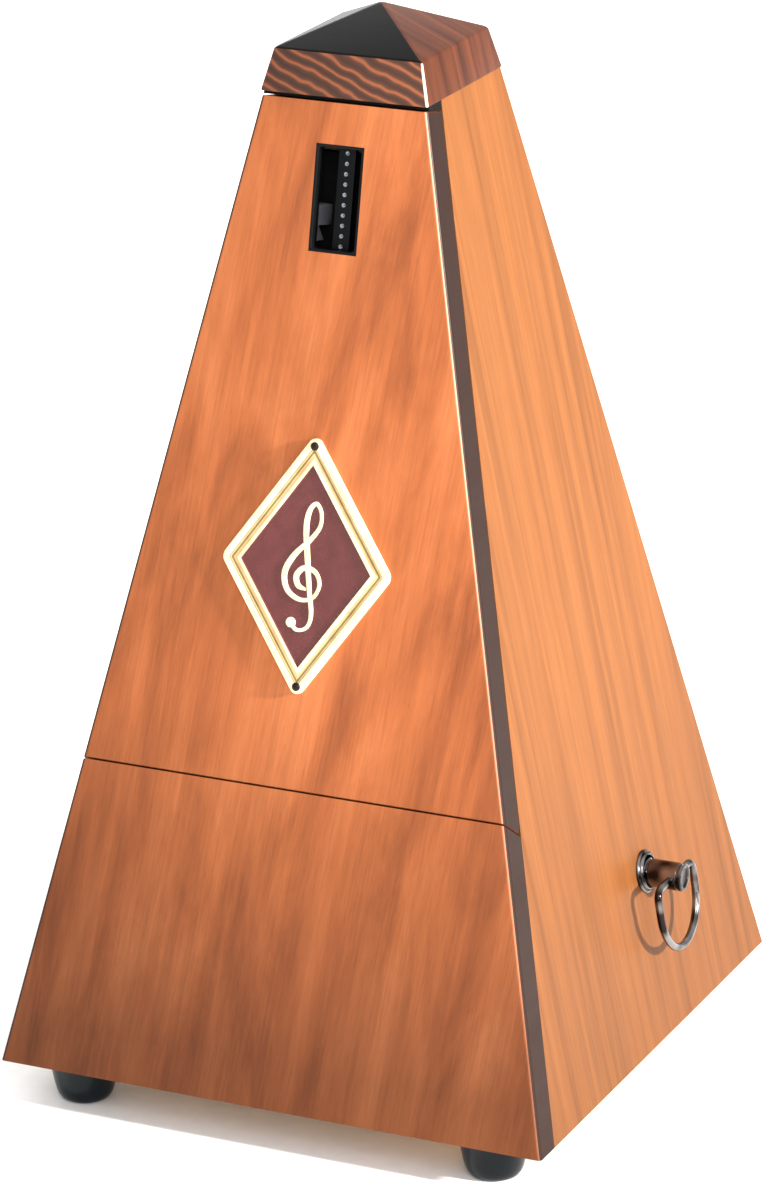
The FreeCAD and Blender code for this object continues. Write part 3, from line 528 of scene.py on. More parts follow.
@dataclass(frozen=True)
class CapWood(LacqueredWood):
    """The cap's wood: plain and reddish on its flanks, figured in front, a painted highlight on its right front
    corner, two roof facets made near black.
    """

    facet: str = "#040303"
    figure: tuple[str, str, str] = ("#462F27", "#583B30", "#8E5236")
    # painted highlight along the band's right front corner
    rubbed: str = "#E8C0AE"

    def stains(self, tree: Tree, colour: Socket) -> Socket:
        """A slanting figure on the front of the band, a painted highlight line on its corner, and the facets
        made near black.

        Args:
            tree: the material's tree.
            colour: the wood's colour so far.

        Returns:
            The colour with the stains and painted light.
        """
        facing = add(tree, "SeparateXYZ", {0: add(tree, "TexCoord").outputs["Normal"]}).outputs
        # a wave repeats 3.2 times in its unit of 7 mm, so the lines are 2.2 mm apart; they rise to the left
        waves = add(
            tree, "TexWave",
            {"Vector": stretched(tree, (7, 7, 7), (0, 68, 0)), "Scale": 1.0, "Distortion": 5.0, "Detail": 2.0,
             "Detail Scale": 0.8},
        )
        tones = list(zip((0.0, 0.72, 0.96), self.figure))
        figured = add(tree, "ValToRGB", {"Fac": waves.outputs["Fac"]}, tones)
        between = add(tree, "Math", {0: facing["X"], 1: facing["Y"]}, operation="SUBTRACT")
        aside = add(tree, "Math", {0: facing["X"], 1: facing["Y"]}, operation="ADD")
        ahead, corner, roof, away = (
            add(tree, "Math", {0: value, 1: limit}, operation=test)
            for value, limit, test in (
                (facing["Y"], -0.7, "LESS_THAN"), (between, 1.15, "GREATER_THAN"),
                (facing["Z"], 0.6, "GREATER_THAN"), (aside, -0.2, "LESS_THAN"),
            )
        )
        dark = add(tree, "Math", {0: roof, 1: away}, operation="MULTIPLY")
        # the pale corner line is a painted highlight
        for share, tone in ((ahead, figured), (corner, linear(self.rubbed)), (dark, linear(self.facet))):
            colour = add(tree, "Mix", {0: share, 6: colour, 7: tone}, **OVER).outputs[2]
        return colour


@dataclass(frozen=True)
class BareWood(Finish):
    """Beech, sawn and sanded, unfinished: pale and dull with short brown flecks."""

    name: str = "Beech_sawn_and_sanded"

    def shade(self, tree: Tree) -> Node:
        """Faint bands along X with flecks.

        Args:
            tree: the material's tree.

        Returns:
            The surface shader.
        """
        bands, flecks = (
            add(tree, "TexNoise", {"Vector": stretched(tree, size), "Scale": 1.0, "Detail": detail})
            for size, detail in (((60, 4, 4), 4.0), ((2.5, 0.4, 0.4), 1.0))
        )
        colour = add(tree, "ValToRGB", {"Fac": bands}, [(0.3, "#C69A6B"), (0.7, "#DDBB8E")])
        share = add(tree, "ValToRGB", {"Fac": flecks}, [(0.62, 0.0), (0.7, 0.5)])
        colour = add(tree, "Mix", {0: share, 6: colour, 7: linear("#9A6E45")}, **OVER).outputs[2]
        bump = add(tree, "Bump", {"Height": bands, "Strength": 0.3, "Distance": 0.1 * MM})
        rough = add(tree, "MapRange", {"Value": bands, "To Min": 0.6, "To Max": 0.8})
        return add(tree, "BsdfPrincipled", {"Base Color": colour, "Roughness": rough, "Normal": bump})


@dataclass(frozen=True)
class Moulded(Finish):
    """A moulded or sprayed skin: one deep colour with a fine grain, duller where it has been handled."""

    name: str
    colour: str
    other: str  # what the colour passes into, in patches
    texture: tuple[float, float, float] = (0.35, 0.35, 0.35)  # its size along X, Y and Z, mm
    depth: float = 0.03  # how deep the texture is, mm
    strength: float = 0.35
    patch: float = 7.0  # size of the patches, mm
    cloudy: float = 4.0  # detail in the patches
    fade: tuple[float, float] = (0.35, 0.75)  # close together for stronger patches
    shine: tuple[float, float] = (0.3, 0.45)
    dull_patches: bool = True  # whether the gloss follows the patches or the texture
    metallic: float = 0.0
    mirror: float = 0.5  # strength of the reflection off the skin

    def shade(self, tree: Tree) -> Node:
        """A fine texture over slow changes of tone.

        Args:
            tree: the material's tree.

        Returns:
            The surface shader.
        """
        texture, cloud = (
            add(tree, "TexNoise", {"Vector": stretched(tree, size), "Scale": 1.0, "Detail": detail})
            for size, detail in ((self.texture, 2.0), ([self.patch] * 3, self.cloudy))
        )
        colour = add(tree, "ValToRGB", {"Fac": cloud}, list(zip(self.fade, (self.colour, self.other))))
        gloss = cloud if self.dull_patches else texture
        rough = add(tree, "MapRange", {"Value": gloss, "To Min": self.shine[0], "To Max": self.shine[1]})
        bump = add(tree, "Bump", {"Height": texture, "Strength": self.strength, "Distance": self.depth * MM})
        return add(
            tree, "BsdfPrincipled",
            {
                "Base Color": colour, "Metallic": self.metallic, "Roughness": rough,
                "Normal": bump, "Specular IOR Level": self.mirror,
            },
        )


@dataclass(frozen=True)
class Metal(Moulded):
    """A worked metal: tool marks along one direction, and patches of another tone: tarnish on most metals,
    painted reflections on the nickel.
    """

    texture: tuple[float, float, float] = (0.25, 0.25, 6.0)
    depth: float = 0.008
    strength: float = 0.3
    patch: float = 5.0
    cloudy: float = 5.0
    shine: tuple[float, float] = (0.2, 0.35)
    dull_patches: bool = False
    metallic: float = 1.0


@dataclass(frozen=True)
class Enamel(Moulded):
    """Stove enamel or printed varnish on a pressed plate: smooth, glossy and slightly uneven in tone."""

    texture: tuple[float, float, float] = (0.6, 0.6, 0.6)
    depth: float = 0.01
    strength: float = 0.2
    patch: float = 3.0
    fade: tuple[float, float] = (0.35, 0.65)
    shine: tuple[float, float] = (0.18, 0.3)
    dull_patches: bool = False


@dataclass(frozen=True)
class DimpledSteel(Finish):
    """Blackened spring steel, rolled: near black with a blue cast; the forward slopes of its dimples carry a
    painted white highlight.
    """

    name: str = "Spring_steel_blackened"
    flank: tuple[float, float] = (0.15, 0.93)  # how squarely the slope of a dimple faces forwards to carry the painted highlight

    def shade(self, tree: Tree) -> Node:
        """Black on the faces and edges, a painted white highlight on the forward slopes of the dimples.

        Args:
            tree: the material's tree.

        Returns:
            The surface shader.
        """
        forwards = Vector((0, -math.cos(CASE.lean), math.sin(CASE.lean)))
        normal = add(tree, "TexCoord").outputs["Normal"]
        toward = add(tree, "VectorMath", {0: normal, 1: forwards}, operation="DOT_PRODUCT").outputs["Value"]
        sloped, unlike = (
            add(tree, "Math", {0: toward, 1: limit}, operation=test)
            for limit, test in zip(self.flank, ("GREATER_THAN", "LESS_THAN"))
        )
        dimple_glint = add(tree, "Math", {0: sloped, 1: unlike}, operation="MULTIPLY")
        rolled = add(tree, "TexNoise", {"Vector": stretched(tree, (0.2, 0.2, 5)), "Scale": 1.0, "Detail": 2.0})
        black = add(tree, "ValToRGB", {"Fac": rolled}, [(0.3, "#060709"), (0.7, "#0B0D10")])
        # painted highlight: white on the forward slopes of the dimples
        colour = add(tree, "Mix", {0: dimple_glint, 6: black, 7: linear("#9FA6AC")}, **OVER).outputs[2]
        metallic = add(tree, "MapRange", {"Value": dimple_glint, "To Min": 0.7, "To Max": 0.0})
        rough = add(tree, "MapRange", {"Value": rolled, "To Min": 0.3, "To Max": 0.5})
        bump = add(tree, "Bump", {"Height": rolled, "Strength": 0.3, "Distance": 0.01 * MM})
        return add(
            tree, "BsdfPrincipled",
            {"Base Color": colour, "Metallic": metallic, "Roughness": rough, "Normal": bump},
        )


# one wood four ways: the front is reddish and broadly streaked, the sides and back are yellower with a fine
# straight grain, and the cap is dark
FRONT_WOOD = EdgedWood(
    "Sapele_front_stained_and_lacquered", "#84462A", "#BE6C3F", "#DC8553",
    streak=13, length=60, slant=-7, spread=0.26, base_shade=0.38,
)
SIDE_WOOD = LacqueredWood(
    "Sapele_side_stained_and_lacquered", "#6A3E1B", "#845027", "#91592C",
    across="Y", streak=3.2, length=160, spread=0.3, base_shade=0.8,
)
BACK_WOOD = replace(SIDE_WOOD, name="Sapele_back_stained_and_lacquered", across="X")
CAP_WOOD = CapWood(
    "Sapele_cap_dark_stained", "#3C1E13", "#552C1A", "#693822", across="Y", streak=3, length=40,
)
BARE_WOOD = BareWood()
# painted board behind the pendulum: dead black, so that the rod shows against it
BLACK_BOARD = Moulded(
    "Lacquer_board_sprayed_black", "#070708", "#0E0F11", texture=(0.5, 0.5, 0.5), shine=(0.6, 0.8), mirror=0.12,
)
BLACK_PLASTIC = Moulded("ABS_lining_moulded_black", "#060708", "#0B0D10", shine=(0.35, 0.5), mirror=0.16)
# the feet are shiny from the mould; their bluish tint is a painted reflection
RUBBER = Moulded(
    "Rubber_foot_moulded_black", "#050C10", "#0A161C", texture=(0.25, 0.25, 0.25), shine=(0.2, 0.3), mirror=0.2,
)
# nickel over brass, polished, with bright and dark patches as painted reflections
NICKEL = Metal(
    "Nickel_plate_polished", "#8E8C8C", "#2A2626", texture=(4, 0.3, 0.3), shine=(0.08, 0.18), patch=4.2,
    fade=(0.36, 0.58), cloudy=0.5,
)
# warm yellow metals: sheet keeps the brush's lines, rod the lathe's rings
BRASS = Metal("Brass_sheet_brushed", "#D0A350", "#A97F3B", texture=(6, 0.25, 0.25), shine=(0.22, 0.4))
BRASS_TURNED = Metal("Brass_rod_turned", "#D8AE5E", "#B68A44", texture=(0.2, 3, 3), shine=(0.15, 0.3))
# grey and dark metals: oiled steel is clear, blued springs show violet, the casting is dull and grainy
STEEL = Metal("Mild_steel_turned_and_oiled", "#A9A9A6", "#7D7A76", texture=(0.2, 0.2, 3), shine=(0.2, 0.38))
BLUE_STEEL = Metal("Spring_steel_blued", "#34405E", "#5A4A52", texture=(4, 0.2, 0.2))
BOB_METAL = Metal(
    "Zinc_casting_tumbled", "#8E8F90", "#6F6E6C", texture=(0.7, 0.7, 0.7), shine=(0.35, 0.55), depth=0.03,
)
DARK_NAIL = Metal("Steel_pin_blackened", "#3A3233", "#241D1E", shine=(0.25, 0.4))
# thin zinc over steel looks like a dull bluish paint
CATCH_METAL = Enamel("Steel_leaf_zinc_plated_dull", "#5F5D64", "#77757C", metallic=0.2, shine=(0.3, 0.45))
ROD_STEEL = DimpledSteel()
# the lozenge: pale gilt that shines, a matt band with olive lines, and a dull red field
GILT = Enamel("Aluminium_plate_pressed_and_gilt", "#F3E3AE", "#FFF6CC", metallic=0.12, shine=(0.2, 0.34))
GILT_BAND = Enamel("Gilt_band_matt_printed", "#CDA36C", "#E3BE88", shine=(0.35, 0.5))
GILT_LINE = Enamel("Olive_line_printed", "#7A6638", "#8F7A45", shine=(0.35, 0.5))
MAROON = Enamel("Maroon_enamel_stoved", "#5C2A28", "#65302E", shine=(0.2, 0.32))
# the scale: a satin cream ground with black figures
CARD = Enamel("Scale_plate_lacquered_cream", "#DCCDA6", "#E8DCBB", shine=(0.35, 0.5))
INK = Enamel("Scale_ink_printed_black", "#241E18", "#16130F", shine=(0.4, 0.55))
PAPER = Enamel("Paper_backdrop_matt", "#F5F5F4", "#F9F9F8", shine=(0.75, 0.9))


# ---------------------------------------------------------------- the case


@dataclass
class Case:
    """The wooden case: panels, cap, feet and the lining of the window."""

    finishes: dict[Finish, str] = field(
        default_factory=lambda: {
            FRONT_WOOD: "front_cover lower_front_panel",
            SIDE_WOOD: "side_panel_left side_panel_right",
            BACK_WOOD: "back_panel",
            BARE_WOOD: "base_board top_block glue_blocks",
            # the rail under the cap is black, and also stands in as painted shadow for the gap between cover
            # and cap
            BLACK_BOARD: "scale_board cap_rail",
            STEEL: "cover_strike foot_screws movement_screws catch_screws",
            BLUE_STEEL: "cover_spring",
            CATCH_METAL: "pendulum_catch",
        }
    )
    cap_half: float = 17.8 * MM
    cap_band: float = 8.4 * MM
    cap_top_half: float = 15.7 * MM
    cap_edge: float = 0.45 * MM
    tip_worn: float = 0.1 * MM
    window: tuple[float, float] = (10.2 * MM, 20.9 * MM)
    window_low: float = 169.2 * MM

    def cap(self) -> None:
        """The cap: an upright band that narrows, under a low four-sided roof, with its edges just broken."""
        low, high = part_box("cap")
        solid = Solid()
        levels = [
            (self.cap_half, low.z), (self.cap_top_half, low.z + self.cap_band),
            (self.cap_edge, high.z - self.tip_worn),
        ]
        corners = ((-1, -1), (1, -1), (1, 1), (-1, 1))
        solid.skin([[Vector((x * half, y * half, z)) for x, y in corners] for half, z in levels])
        solid.bevel(self.cap_edge, 3)
        solid.piece("cap_finished", "case", [CAP_WOOD], node="cap", sharp=30)

    def feet(self) -> None:
        """Four moulded feet: a flange, a tapered body and a rounded tread with a well for the screw."""
        profile = [
            (1.0, 9.0), (7.25, 9.0), (7.4, 8.8), (7.36, 8.4), (7.1, 7.6), (6.65, 5.6), (6.2, 3.4), (5.85, 2.0),
            (5.5, 1.1), (5.0, 0.4), (4.4, 0.06), (4.0, 0.0), (3.1, 0.0), (2.8, 0.25), (2.7, 0.8), (2.7, 4.0),
            (1.0, 4.0),
        ]
        for name in ("foot_front_left", "foot_front_right", "foot_rear_left", "foot_rear_right"):
            low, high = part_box(name)
            solid = Solid()
            solid.lathe(profile, 56, closed=True)
            middle = Matrix.Translation(((low.x + high.x) / 2, (low.y + high.y) / 2, low.z))
            solid.piece(name + "_moulded", "case", [RUBBER], middle, name)

    def rounded_frame(self, inset: float, corner: float, out: float) -> list[Vector]:
        """The outline of the window, drawn in by an inset, with rounded corners.

        Args:
            inset: distance inside the opening's edge.
            corner: the corners' radius.
            out: height above the face.

        Returns:
            Points round the outline.
        """
        width, height = self.window[0] / 2 - inset, self.window[1] / 2 - inset
        points = []
        for quarter, (x, y) in enumerate(((1, 1), (-1, 1), (-1, -1), (1, -1))):
            middle = Vector((x * (width - corner), y * (height - corner), out))
            for step in range(6):
                turn = math.radians(90 * quarter + 18 * step)
                points.append(middle + corner * Vector((math.cos(turn), math.sin(turn), 0)))
        return points

    def window_lining(self) -> None:
        """The black frame in the window, flush with the wood, its inner edge rolled over."""
        solid = Solid()
        steps = [
            (0.0, 0.05, -2.2), (0.0, 0.05, -0.05), (0.05, 0.1, 0.0), (0.35, 0.7, 0.0), (0.55, 0.75, -0.12),
            (0.6, 0.8, -0.4), (0.6, 0.8, -2.2),
        ]
        loops = [self.rounded_frame(inset * MM, corner * MM, out * MM) for inset, corner, out in steps]
        solid.skin(loops, closed=True)
        place = CASE.place(Face.FRONT, 0, self.window_low + self.window[1] / 2, 0)
        solid.piece("window_frame", "cover", [BLACK_PLASTIC], place, "window_lining")

    def build(self, nodes: Parts) -> None:
        """Dress and build the whole case."""
        dress(nodes, self.finishes)
        self.cap()
        self.feet()
        self.window_lining()


# ---------------------------------------------------------------- the lozenge on the cover


@dataclass
class Emblem:
    """The pressed lozenge plate with its gilt rims, enamelled field and a treble clef."""

    half_width: float = 18.3 * MM
    half_height: float = 26.2 * MM
    middle: float = 108.2 * MM
    side_round: float = 2.2 * MM
    tip_round: float = 1.5 * MM
    nail_offset: float = 23.6 * MM
    rim: float = 1.0 * MM  # height of the rims over the cover
    sunk: float = 0.69 * MM  # height of the enamelled field
    clef_height: float = 25.0 * MM
    clef_thick: float = 0.32 * MM

    def outline(self, inset: float, out: float) -> list[Vector]:
        """The lozenge drawn in by an even inset, with rounded corners.

        Args:
            inset: distance inside the plate's edge.
            out: height above the cover.

        Returns:
            Points round the outline.
        """
        slant = math.atan2(self.half_height, self.half_width)
        width = self.half_width - inset / math.sin(slant)
        height = self.half_height - inset / math.cos(slant)
        points = []
        for quarter, (x, y) in enumerate(((1, 0), (0, 1), (-1, 0), (0, -1))):
            side = quarter % 2 == 0
            opening = slant if side else math.pi / 2 - slant
            radius = max((self.side_round if side else self.tip_round) - inset, 0.12 * MM)
            back = radius / math.sin(opening)
            reach = (width if side else height) - back
            middle = Vector((x * reach, y * reach, out))
            sweep = math.pi / 2 - opening
            for step in range(9):
                turn = math.radians(90 * quarter) + sweep * (step / 4 - 1)
                points.append(middle + radius * Vector((math.cos(turn), math.sin(turn), 0)))
        return points

    def plate(self) -> None:
        """The plate: bright outer rim, matt band with two fine lines, bright inner rim and sunk field."""
        gilt, band, line, red = range(4)
        steps = [
            (0.0, 0.0, gilt), (0.0, 0.75, gilt), (0.08, 0.92, gilt), (0.25, 1.0, gilt), (1.45, 1.0, gilt),
            (1.6, 0.86, line), (1.85, 0.86, band), (2.25, 0.86, line), (2.42, 0.86, band), (2.85, 0.86, band),
            (3.0, 0.98, gilt), (3.1, 1.0, gilt), (3.6, 1.0, gilt), (3.75, 0.72, red), (3.9, 0.7, red),
        ]
        solid = Solid()
        loops = [self.outline(inset * MM, out * MM) for inset, out, tone in steps]
        solid.skin(loops, tones=[tone for inset, out, tone in steps[1:]])
        place = CASE.place(Face.FRONT, 0, self.middle, 0)
        tones = (GILT, GILT_BAND, GILT_LINE, MAROON)
        solid.piece("lozenge_plate", "cover", tones, place, "emblem_plate", sharp=50)

    def clef(self) -> None:
        """A raised treble clef in the field."""
        points = [
            (0.1, -0.5), (-0.45, -0.3), (-0.6, 0.3), (-0.1, 0.8), (0.65, 0.6), (0.95, -0.15), (0.55, -0.95),
            (-0.3, -1.15), (-1.15, -0.65), (-1.4, 0.4), (-0.85, 1.5), (0.1, 2.5), (0.7, 3.4), (0.72, 4.25),
            (0.35, 4.75), (-0.05, 4.3), (-0.2, 3.3), (0.0, 1.6), (0.3, -0.4), (0.55, -2.0), (0.3, -2.8),
            (-0.35, -3.0), (-0.75, -2.6),
        ]
        heights = [y for x, y in points]
        scale = self.clef_height / (max(heights) - min(heights))
        path = [point * scale for point in smooth_path(points)]
        widths = []  # half of 1 mm, with three slight swellings and tapered ends
        for place in range(len(path)):
            share = place / (len(path) - 1)
            swell = 0.12 * math.sin(share * math.pi * 6)
            ends = min(1.0, 0.55 + share * 12, 0.55 + (1 - share) * 12)
            widths.append((0.5 + swell) * MM * ends)
        solid = Solid()
        solid.ribbon(path, widths, self.clef_thick)
        knob = [(0.02, 0.0), (1.05, 0.0), (0.98, 0.22), (0.7, 0.33), (0.02, 0.36)]
        solid.lathe(knob, 24, place=Matrix.Translation(path[-1]))
        # the sign's middle lies above the origin of its points
        drop = Vector((0.1 * MM, -0.87 * scale, 0))
        place = CASE.place(Face.FRONT, 0, self.middle, self.sunk) @ Matrix.Translation(drop)
        solid.piece("treble_clef", "cover", [GILT], place)

    def nails(self) -> None:
        """Two blackened pins with domed heads, in the tips of the rim."""
        profile = [
            (0.02, -3.0), (0.45, -3.0), (0.45, 0.0), (0.85, 0.0), (0.82, 0.15), (0.6, 0.32), (0.3, 0.4),
            (0.02, 0.42),
        ]
        solid = Solid()
        for side in (-1, 1):
            place = CASE.place(Face.FRONT, 0, self.middle + side * self.nail_offset, self.rim)
            solid.lathe(profile, 28, place=place)
        solid.piece("lozenge_pins", "cover", [DARK_NAIL], node="emblem_nails")

    def build(self) -> None:
        """Build the plate with its clef and pins."""
        self.plate()
        self.clef()
        self.nails()


# ---------------------------------------------------------------- the key


@dataclass
class Key:
    """The folding key on the right side, its wire bail and the rosette under it."""

    axis: tuple[float, float] = (10.5 * MM, 42.0 * MM)
    foot: float = 48.55 * MM
    end: float = 60.646 * MM
    bail_x: float = 58.3455 * MM
    wire: float = 0.8 * MM
    half: float = 9.2 * MM
    drop: float = 14.6 * MM
    bend: float = 2.0 * MM
    rest: float = 8.75  # degrees that the bail hangs outwards from plumb

    def barrel(self) -> None:
        """The turned barrel: a collar at its foot, a plain shank, and a bead round its dished end."""
        length = (self.end - self.foot) / MM
        profile = [
            (0.02, 0.0), (2.9, 0.0), (2.9, 4.2), (2.62, 4.4), (2.62, 4.75), (2.86, 4.95), (2.86, length - 1.25),
            (2.66, length - 1.1), (2.66, length - 0.95), (2.84, length - 0.8), (2.9, length - 0.5),
            (2.84, length - 0.2), (2.6, length - 0.03), (2.35, length), (2.1, length - 0.08),
            (1.9, length - 0.3), (1.2, length - 0.45), (0.02, length - 0.5),
        ]
        solid = Solid()
        solid.lathe(profile, 56)
        place = Matrix.Translation((self.foot, *self.axis)) @ Matrix.Rotation(math.radians(90), 4, "Y")
        solid.piece("key_barrel_turned", "winding_work", [NICKEL], place, "key_barrel", sharp=40)

    def arc(
        self, middle: tuple[float, float], radius: float, start: float, sweep: float, steps: int
    ) -> list[Vector]:
        """Points on an arc in the plane of the bail.

        Args:
            middle: its centre from the key's axis, as Y and Z.
            radius: its radius.
            start: the angle it starts at, in degrees from Y.
            sweep: the angle it turns by.
            steps: its number of divisions.

        Returns:
            The points.
        """
        turns = [math.radians(start + sweep * step / steps) for step in range(steps + 1)]
        return [
            Vector((
                self.bail_x,
                self.axis[0] + middle[0] + radius * math.cos(turn),
                self.axis[1] + middle[1] + radius * math.sin(turn),
            ))
            for turn in turns
        ]

    def bail(self) -> None:
        """The bail: a straight bar through the barrel, tight corners and a round bow."""
        inner = self.half - self.bend
        path = [Vector((self.bail_x, self.axis[0] + y * inner, self.axis[1])) for y in (-0.5, 0.0, 0.5)]
        path += self.arc((inner, -self.bend), self.bend, 90, -90, 6)
        path += self.arc((0, self.half - self.drop), self.half, 0, -180, 28)
        path += self.arc((-inner, -self.bend), self.bend, 180, -90, 6)
        solid = Solid()
        solid.tube(path, self.wire, 16)
        pin = Matrix.Translation((self.bail_x, 0, self.axis[1]))
        lean = pin @ Matrix.Rotation(math.radians(-self.rest), 4, "Y") @ pin.inverted()
        solid.piece("key_bail_wire", "bail", [NICKEL], lean, "key_bail")

    def rosette(self) -> None:
        """The rosette: two beads and a groove round the hole for the key."""
        profile = [
            (4.4, 0.0), (4.4, 0.35), (4.3, 0.58), (4.14, 0.66), (3.98, 0.58), (3.9, 0.46), (3.82, 0.46),
            (3.76, 0.8), (3.66, 1.12), (3.5, 1.28), (3.34, 1.2), (3.25, 1.0), (3.25, 0.0),
        ]
        solid = Solid()
        solid.lathe(profile, 64, closed=True)
        place = CASE.place(Face.RIGHT, self.axis[0], (self.axis[1] - CASE.foot) / math.cos(CASE.lean), 0)
        solid.piece("rosette_turned", "case", [NICKEL], place, "key_rosette", sharp=40)

    def build(self) -> None:
        """Build the key and what it sits on."""
        self.barrel()
        self.bail()
        self.rosette()


# ---------------------------------------------------------------- scale, pendulum and movement


@dataclass
class Scale:
    """The cream scale plate behind the pendulum with its printed tempo numbers."""

    depth: float = 8.5 * MM
    top: float = 158.0 * MM
    pitch: float = 2.0 * MM
    text_height: float = 3.1 * MM
    column: float = 6.0 * MM
    bar: tuple[float, float] = (2.4 * MM, 5.2 * MM)  # the ends of a bar, from the middle
    bar_thick: float = 0.35 * MM
    ink: float = 0.02 * MM

    def tempos(self) -> list[int]:
        """The usual steps of tempo, from slow to fast."""
        steps = ((40, 60, 2), (60, 72, 3), (72, 120, 4), (120, 144, 6), (144, 209, 8))
        return [tempo for low, high, step in steps for tempo in range(low, high, step)]

    def number(self, solid: Solid, text: str, across: float, up: float, left: bool) -> None:
        """Print a number on the plate.

        Args:
            solid: the mesh that the figures are added to.
            text: the digits.
            across: where they stand, from the middle.
            up: their middle, up the slope.
            left: True to set them against their right end.
        """
        curve = bpy.data.curves.new("digits", "FONT")
        curve.body, curve.size = text, self.text_height
        curve.align_x, curve.align_y = ("RIGHT" if left else "LEFT"), "CENTER"
        curve.extrude, curve.resolution_u = self.ink, 3
        item = bpy.data.objects.new("digits", curve)
        bpy.context.scene.collection.objects.link(item)
        flat = bpy.data.meshes.new_from_object(item.evaluated_get(bpy.context.evaluated_depsgraph_get()))
        flat.transform(CASE.place(Face.FRONT, across, up, 0.03 * MM - self.depth))
        solid.mesh.from_mesh(flat)
        bpy.data.objects.remove(item)
        bpy.data.meshes.remove(flat)
        bpy.data.curves.remove(curve)

    def build(self, nodes: Parts) -> None:
        """Dress the plate and print it."""
        dress(nodes, {CARD: "scale_plate", BRASS_TURNED: "scale_plate_nails"})
        solid = Solid()
        for row, tempo in enumerate(self.tempos()):
            up = self.top - row * self.pitch
            left = row % 2 == 0
            side = -1 if left else 1
            self.number(solid, str(tempo), side * self.column, up, left)
            start, end = sorted(side * reach for reach in self.bar)
            low, high = up - self.bar_thick / 2, up + self.bar_thick / 2
            corners = ((start, low), (end, low), (end, high), (start, high))
            printed = [CASE.place(Face.FRONT, 0, 0, z * MM - self.depth) for z in (0.01, 0.05)]
            solid.skin([[place @ Vector((x, y, 0)) for x, y in corners] for place in printed])
        solid.piece("tempo_numbers", "case", [INK])


@dataclass
class Movement:
    """The clockwork and the pendulum, which are seen with the cover open or through the window."""

    finishes: dict[Finish, str] = field(
        default_factory=lambda: {
            BRASS: "movement_plate_left movement_plate_right front_cock rear_cock great_wheel barrel_lid"
            " intermediate_wheel escape_wheel",
            BRASS_TURNED: "spring_barrel plate_pillars pendulum_hub",
            BLUE_STEEL: "pillar_screws click_screw click_spring mainspring weight_spring bob_screw",
            STEEL: "pendulum_arbor bob_arm pallets intermediate_pinion intermediate_arbor escape_arbor"
            " escape_pinion winding_arbor ratchet_wheel click",
            ROD_STEEL: "pendulum_rod",
        }
    )
    weight_middle: float = 100.0 * MM
    bob_middle: float = 31.0 * MM

    def tempo_weight(self) -> None:
        """The sliding weight: a brass trapezoid with rounded edges, slotted through for the rod."""
        outer, slot = (-2.5, -5.9), (-3.54, -4.86)
        rings = [(-8.5, 6.5, outer), (-6.4, 7.2, outer), (5.6, 9.1, outer), (8.5, 9.5, outer)]
        rings += [(8.5, 1.82, slot), (-8.5, 1.82, slot)]
        solid = Solid()
        loops = [
            [Vector((x * half, y, z)) * MM for x, z in ((-1, near), (1, near), (1, far), (-1, far))]
            for y, half, (near, far) in rings
        ]
        solid.skin(loops, closed=True)
        solid.bevel(0.3 * MM, 3, 25)
        place = CASE.place(Face.FRONT, 0, self.weight_middle, 0)
        solid.piece("tempo_weight_brass", "sliding_weight", [BRASS_TURNED], place, "tempo_weight")

    def bob(self) -> None:
        """The bob: a cast disc with a rounded rim and a turned face."""
        profile = [
            (0.02, -16.5), (9.6, -16.5), (10.2, -16.2), (10.5, -15.5), (10.5, -9.0), (10.2, -8.3), (9.6, -8.0),
            (8.2, -8.0), (8.0, -8.25), (4.0, -8.25), (3.8, -8.02), (0.02, -8.0),
        ]
        solid = Solid()
        solid.lathe(profile, 64)
        place = CASE.place(Face.FRONT, 0, self.bob_middle, 0)
        solid.piece("bob_cast", "pendulum", [BOB_METAL], place, "pendulum_bob")

    def build(self, nodes: Parts) -> None:
        """Dress the clockwork and build the pendulum's weights."""
        dress(nodes, self.finishes)
        self.tempo_weight()
        self.bob()


# ---------------------------------------------------------------- studio


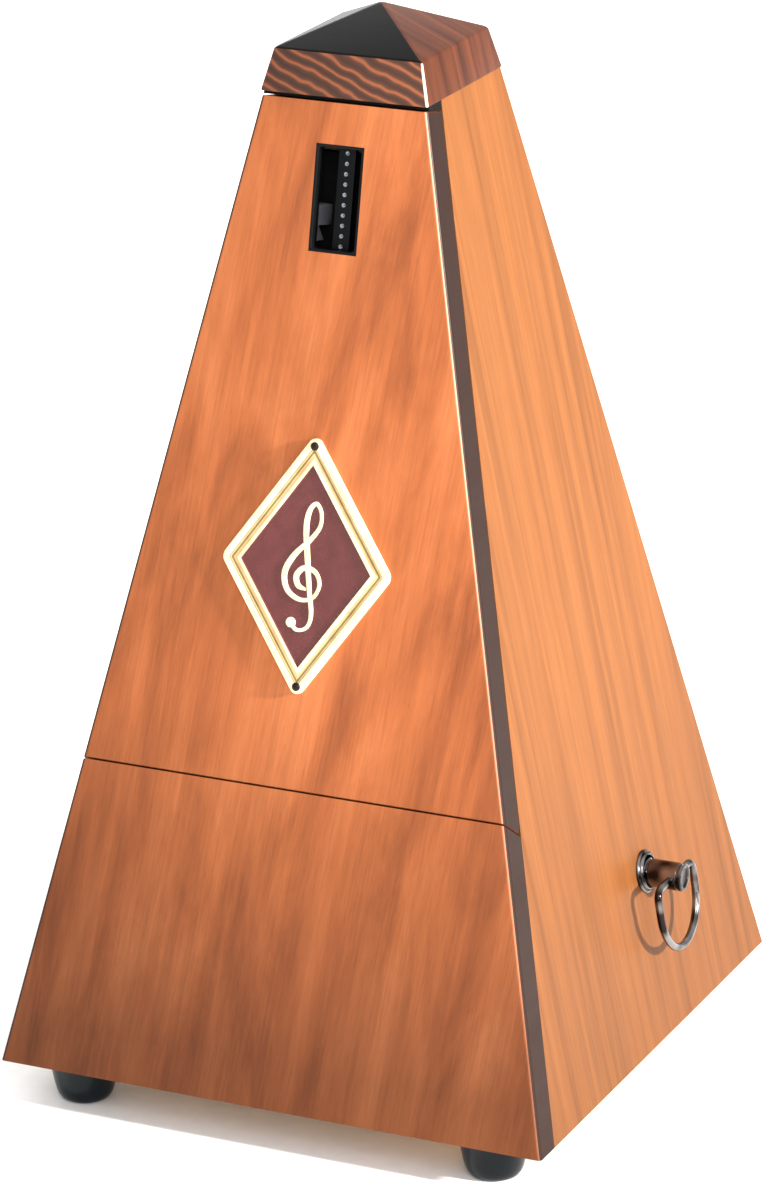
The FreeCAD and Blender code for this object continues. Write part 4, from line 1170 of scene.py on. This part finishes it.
@dataclass
class Studio:
    """A white floor, soft boxes and the camera."""

    target: Vector = field(default_factory=lambda: Vector((0, 0, 110.72 * MM)))
    azimuth: float = 24.943
    elevation: float = 18.764
    distance: float = 1111.4 * MM
    roll: float = -0.515
    lens: float = 167.9
    sensor: float = 36.0
    shift: tuple[float, float] = (-0.0032, -0.0549)
    floor_half: float = 6.0

    def toward(self, azimuth: float, elevation: float, distance: float) -> Vector:
        """A point seen from the metronome in a direction.

        Args:
            azimuth: degrees from the front towards the right.
            elevation: degrees above the floor.
            distance: how far from the target.

        Returns:
            The point.
        """
        around, above = math.radians(azimuth), math.radians(elevation)
        level = math.cos(above)
        return self.target + distance * Vector(
            (math.sin(around) * level, -math.cos(around) * level, math.sin(above))
        )

    def softbox(
        self, name: str, azimuth: float, elevation: float, distance: float, size: tuple[float, float],
        power: float, colour: str = "#FFFFFF",
    ) -> None:
        """Hang a soft box that faces the metronome.

        Args:
            name: the light's name.
            azimuth: degrees from the front towards the right.
            elevation: degrees above the floor.
            distance: how far away it hangs.
            size: its width and height.
            power: its power in watts.
            colour: its colour.
        """
        lamp = bpy.data.lights.new(name, "AREA")
        lamp.shape, lamp.size, lamp.size_y = "RECTANGLE", size[0], size[1]
        lamp.energy = power
        lamp.color = linear(colour)[:3]
        item = bpy.data.objects.new(name, lamp)
        item.location = self.toward(azimuth, elevation, distance)
        item.rotation_euler = (item.location - self.target).to_track_quat("Z", "Y").to_euler()
        bpy.context.scene.collection.objects.link(item)

    def floor(self) -> None:
        """A wide pale floor."""
        mesh = bmesh.new()
        bmesh.ops.create_grid(mesh, x_segments=8, y_segments=8, size=self.floor_half)
        data = bpy.data.meshes.new("floor")
        mesh.to_mesh(data)
        mesh.free()
        data.materials.append(PAPER.material())
        item = bpy.data.objects.new("floor", data)
        bpy.context.scene.collection.objects.link(item)

    def world(self) -> None:
        """An even pale surround."""
        world = bpy.data.worlds.new("surround")
        bpy.context.scene.world = world
        world.use_nodes = True
        backdrop = world.node_tree.nodes["Background"]
        backdrop.inputs["Color"].default_value = linear("#FFFFFF")
        backdrop.inputs["Strength"].default_value = 1.0

    def camera(self) -> None:
        """The camera, above the case and a little to its right, with a long lens."""
        data = bpy.data.cameras.new("camera")
        data.sensor_width, data.lens = self.sensor, self.lens
        data.shift_x, data.shift_y = self.shift
        data.clip_start, data.clip_end = 0.05, 30
        item = bpy.data.objects.new("camera", data)
        item.location = self.toward(self.azimuth, self.elevation, self.distance)
        facing = (item.location - self.target).to_track_quat("Z", "Y").to_matrix()
        item.rotation_euler = (facing @ Matrix.Rotation(math.radians(self.roll), 3, "Z")).to_euler()
        bpy.context.scene.collection.objects.link(item)
        bpy.context.scene.camera = item

    def build(self) -> None:
        """Set up the whole studio."""
        bpy.context.scene.view_settings.view_transform = "Standard"
        self.floor()
        self.world()
        # a small warm lamp low on the right throws the key's shadow; large ones lighten the front and the back
        self.softbox(
            "key_light", azimuth=84, elevation=17, distance=1.3, size=(0.06, 0.06), power=42, colour="#FFF9F2"
        )
        self.softbox("front_fill", azimuth=30, elevation=30, distance=1.4, size=(0.5, 0.9), power=6)
        self.softbox("back_fill", azimuth=215, elevation=25, distance=1.6, size=(1.0, 1.0), power=16)
        self.camera()


def main() -> None:
    """Load the frame, build and dress every part, and set up the studio."""
    logging.basicConfig(level=logging.INFO, format="%(name)s: %(message)s")
    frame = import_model()
    nodes = frame["nodes"]
    Case().build(nodes)
    Emblem().build()
    Key().build()
    Scale().build(nodes)
    Movement().build(nodes)
    Studio().build()


if __name__ == "__main__":
    main()
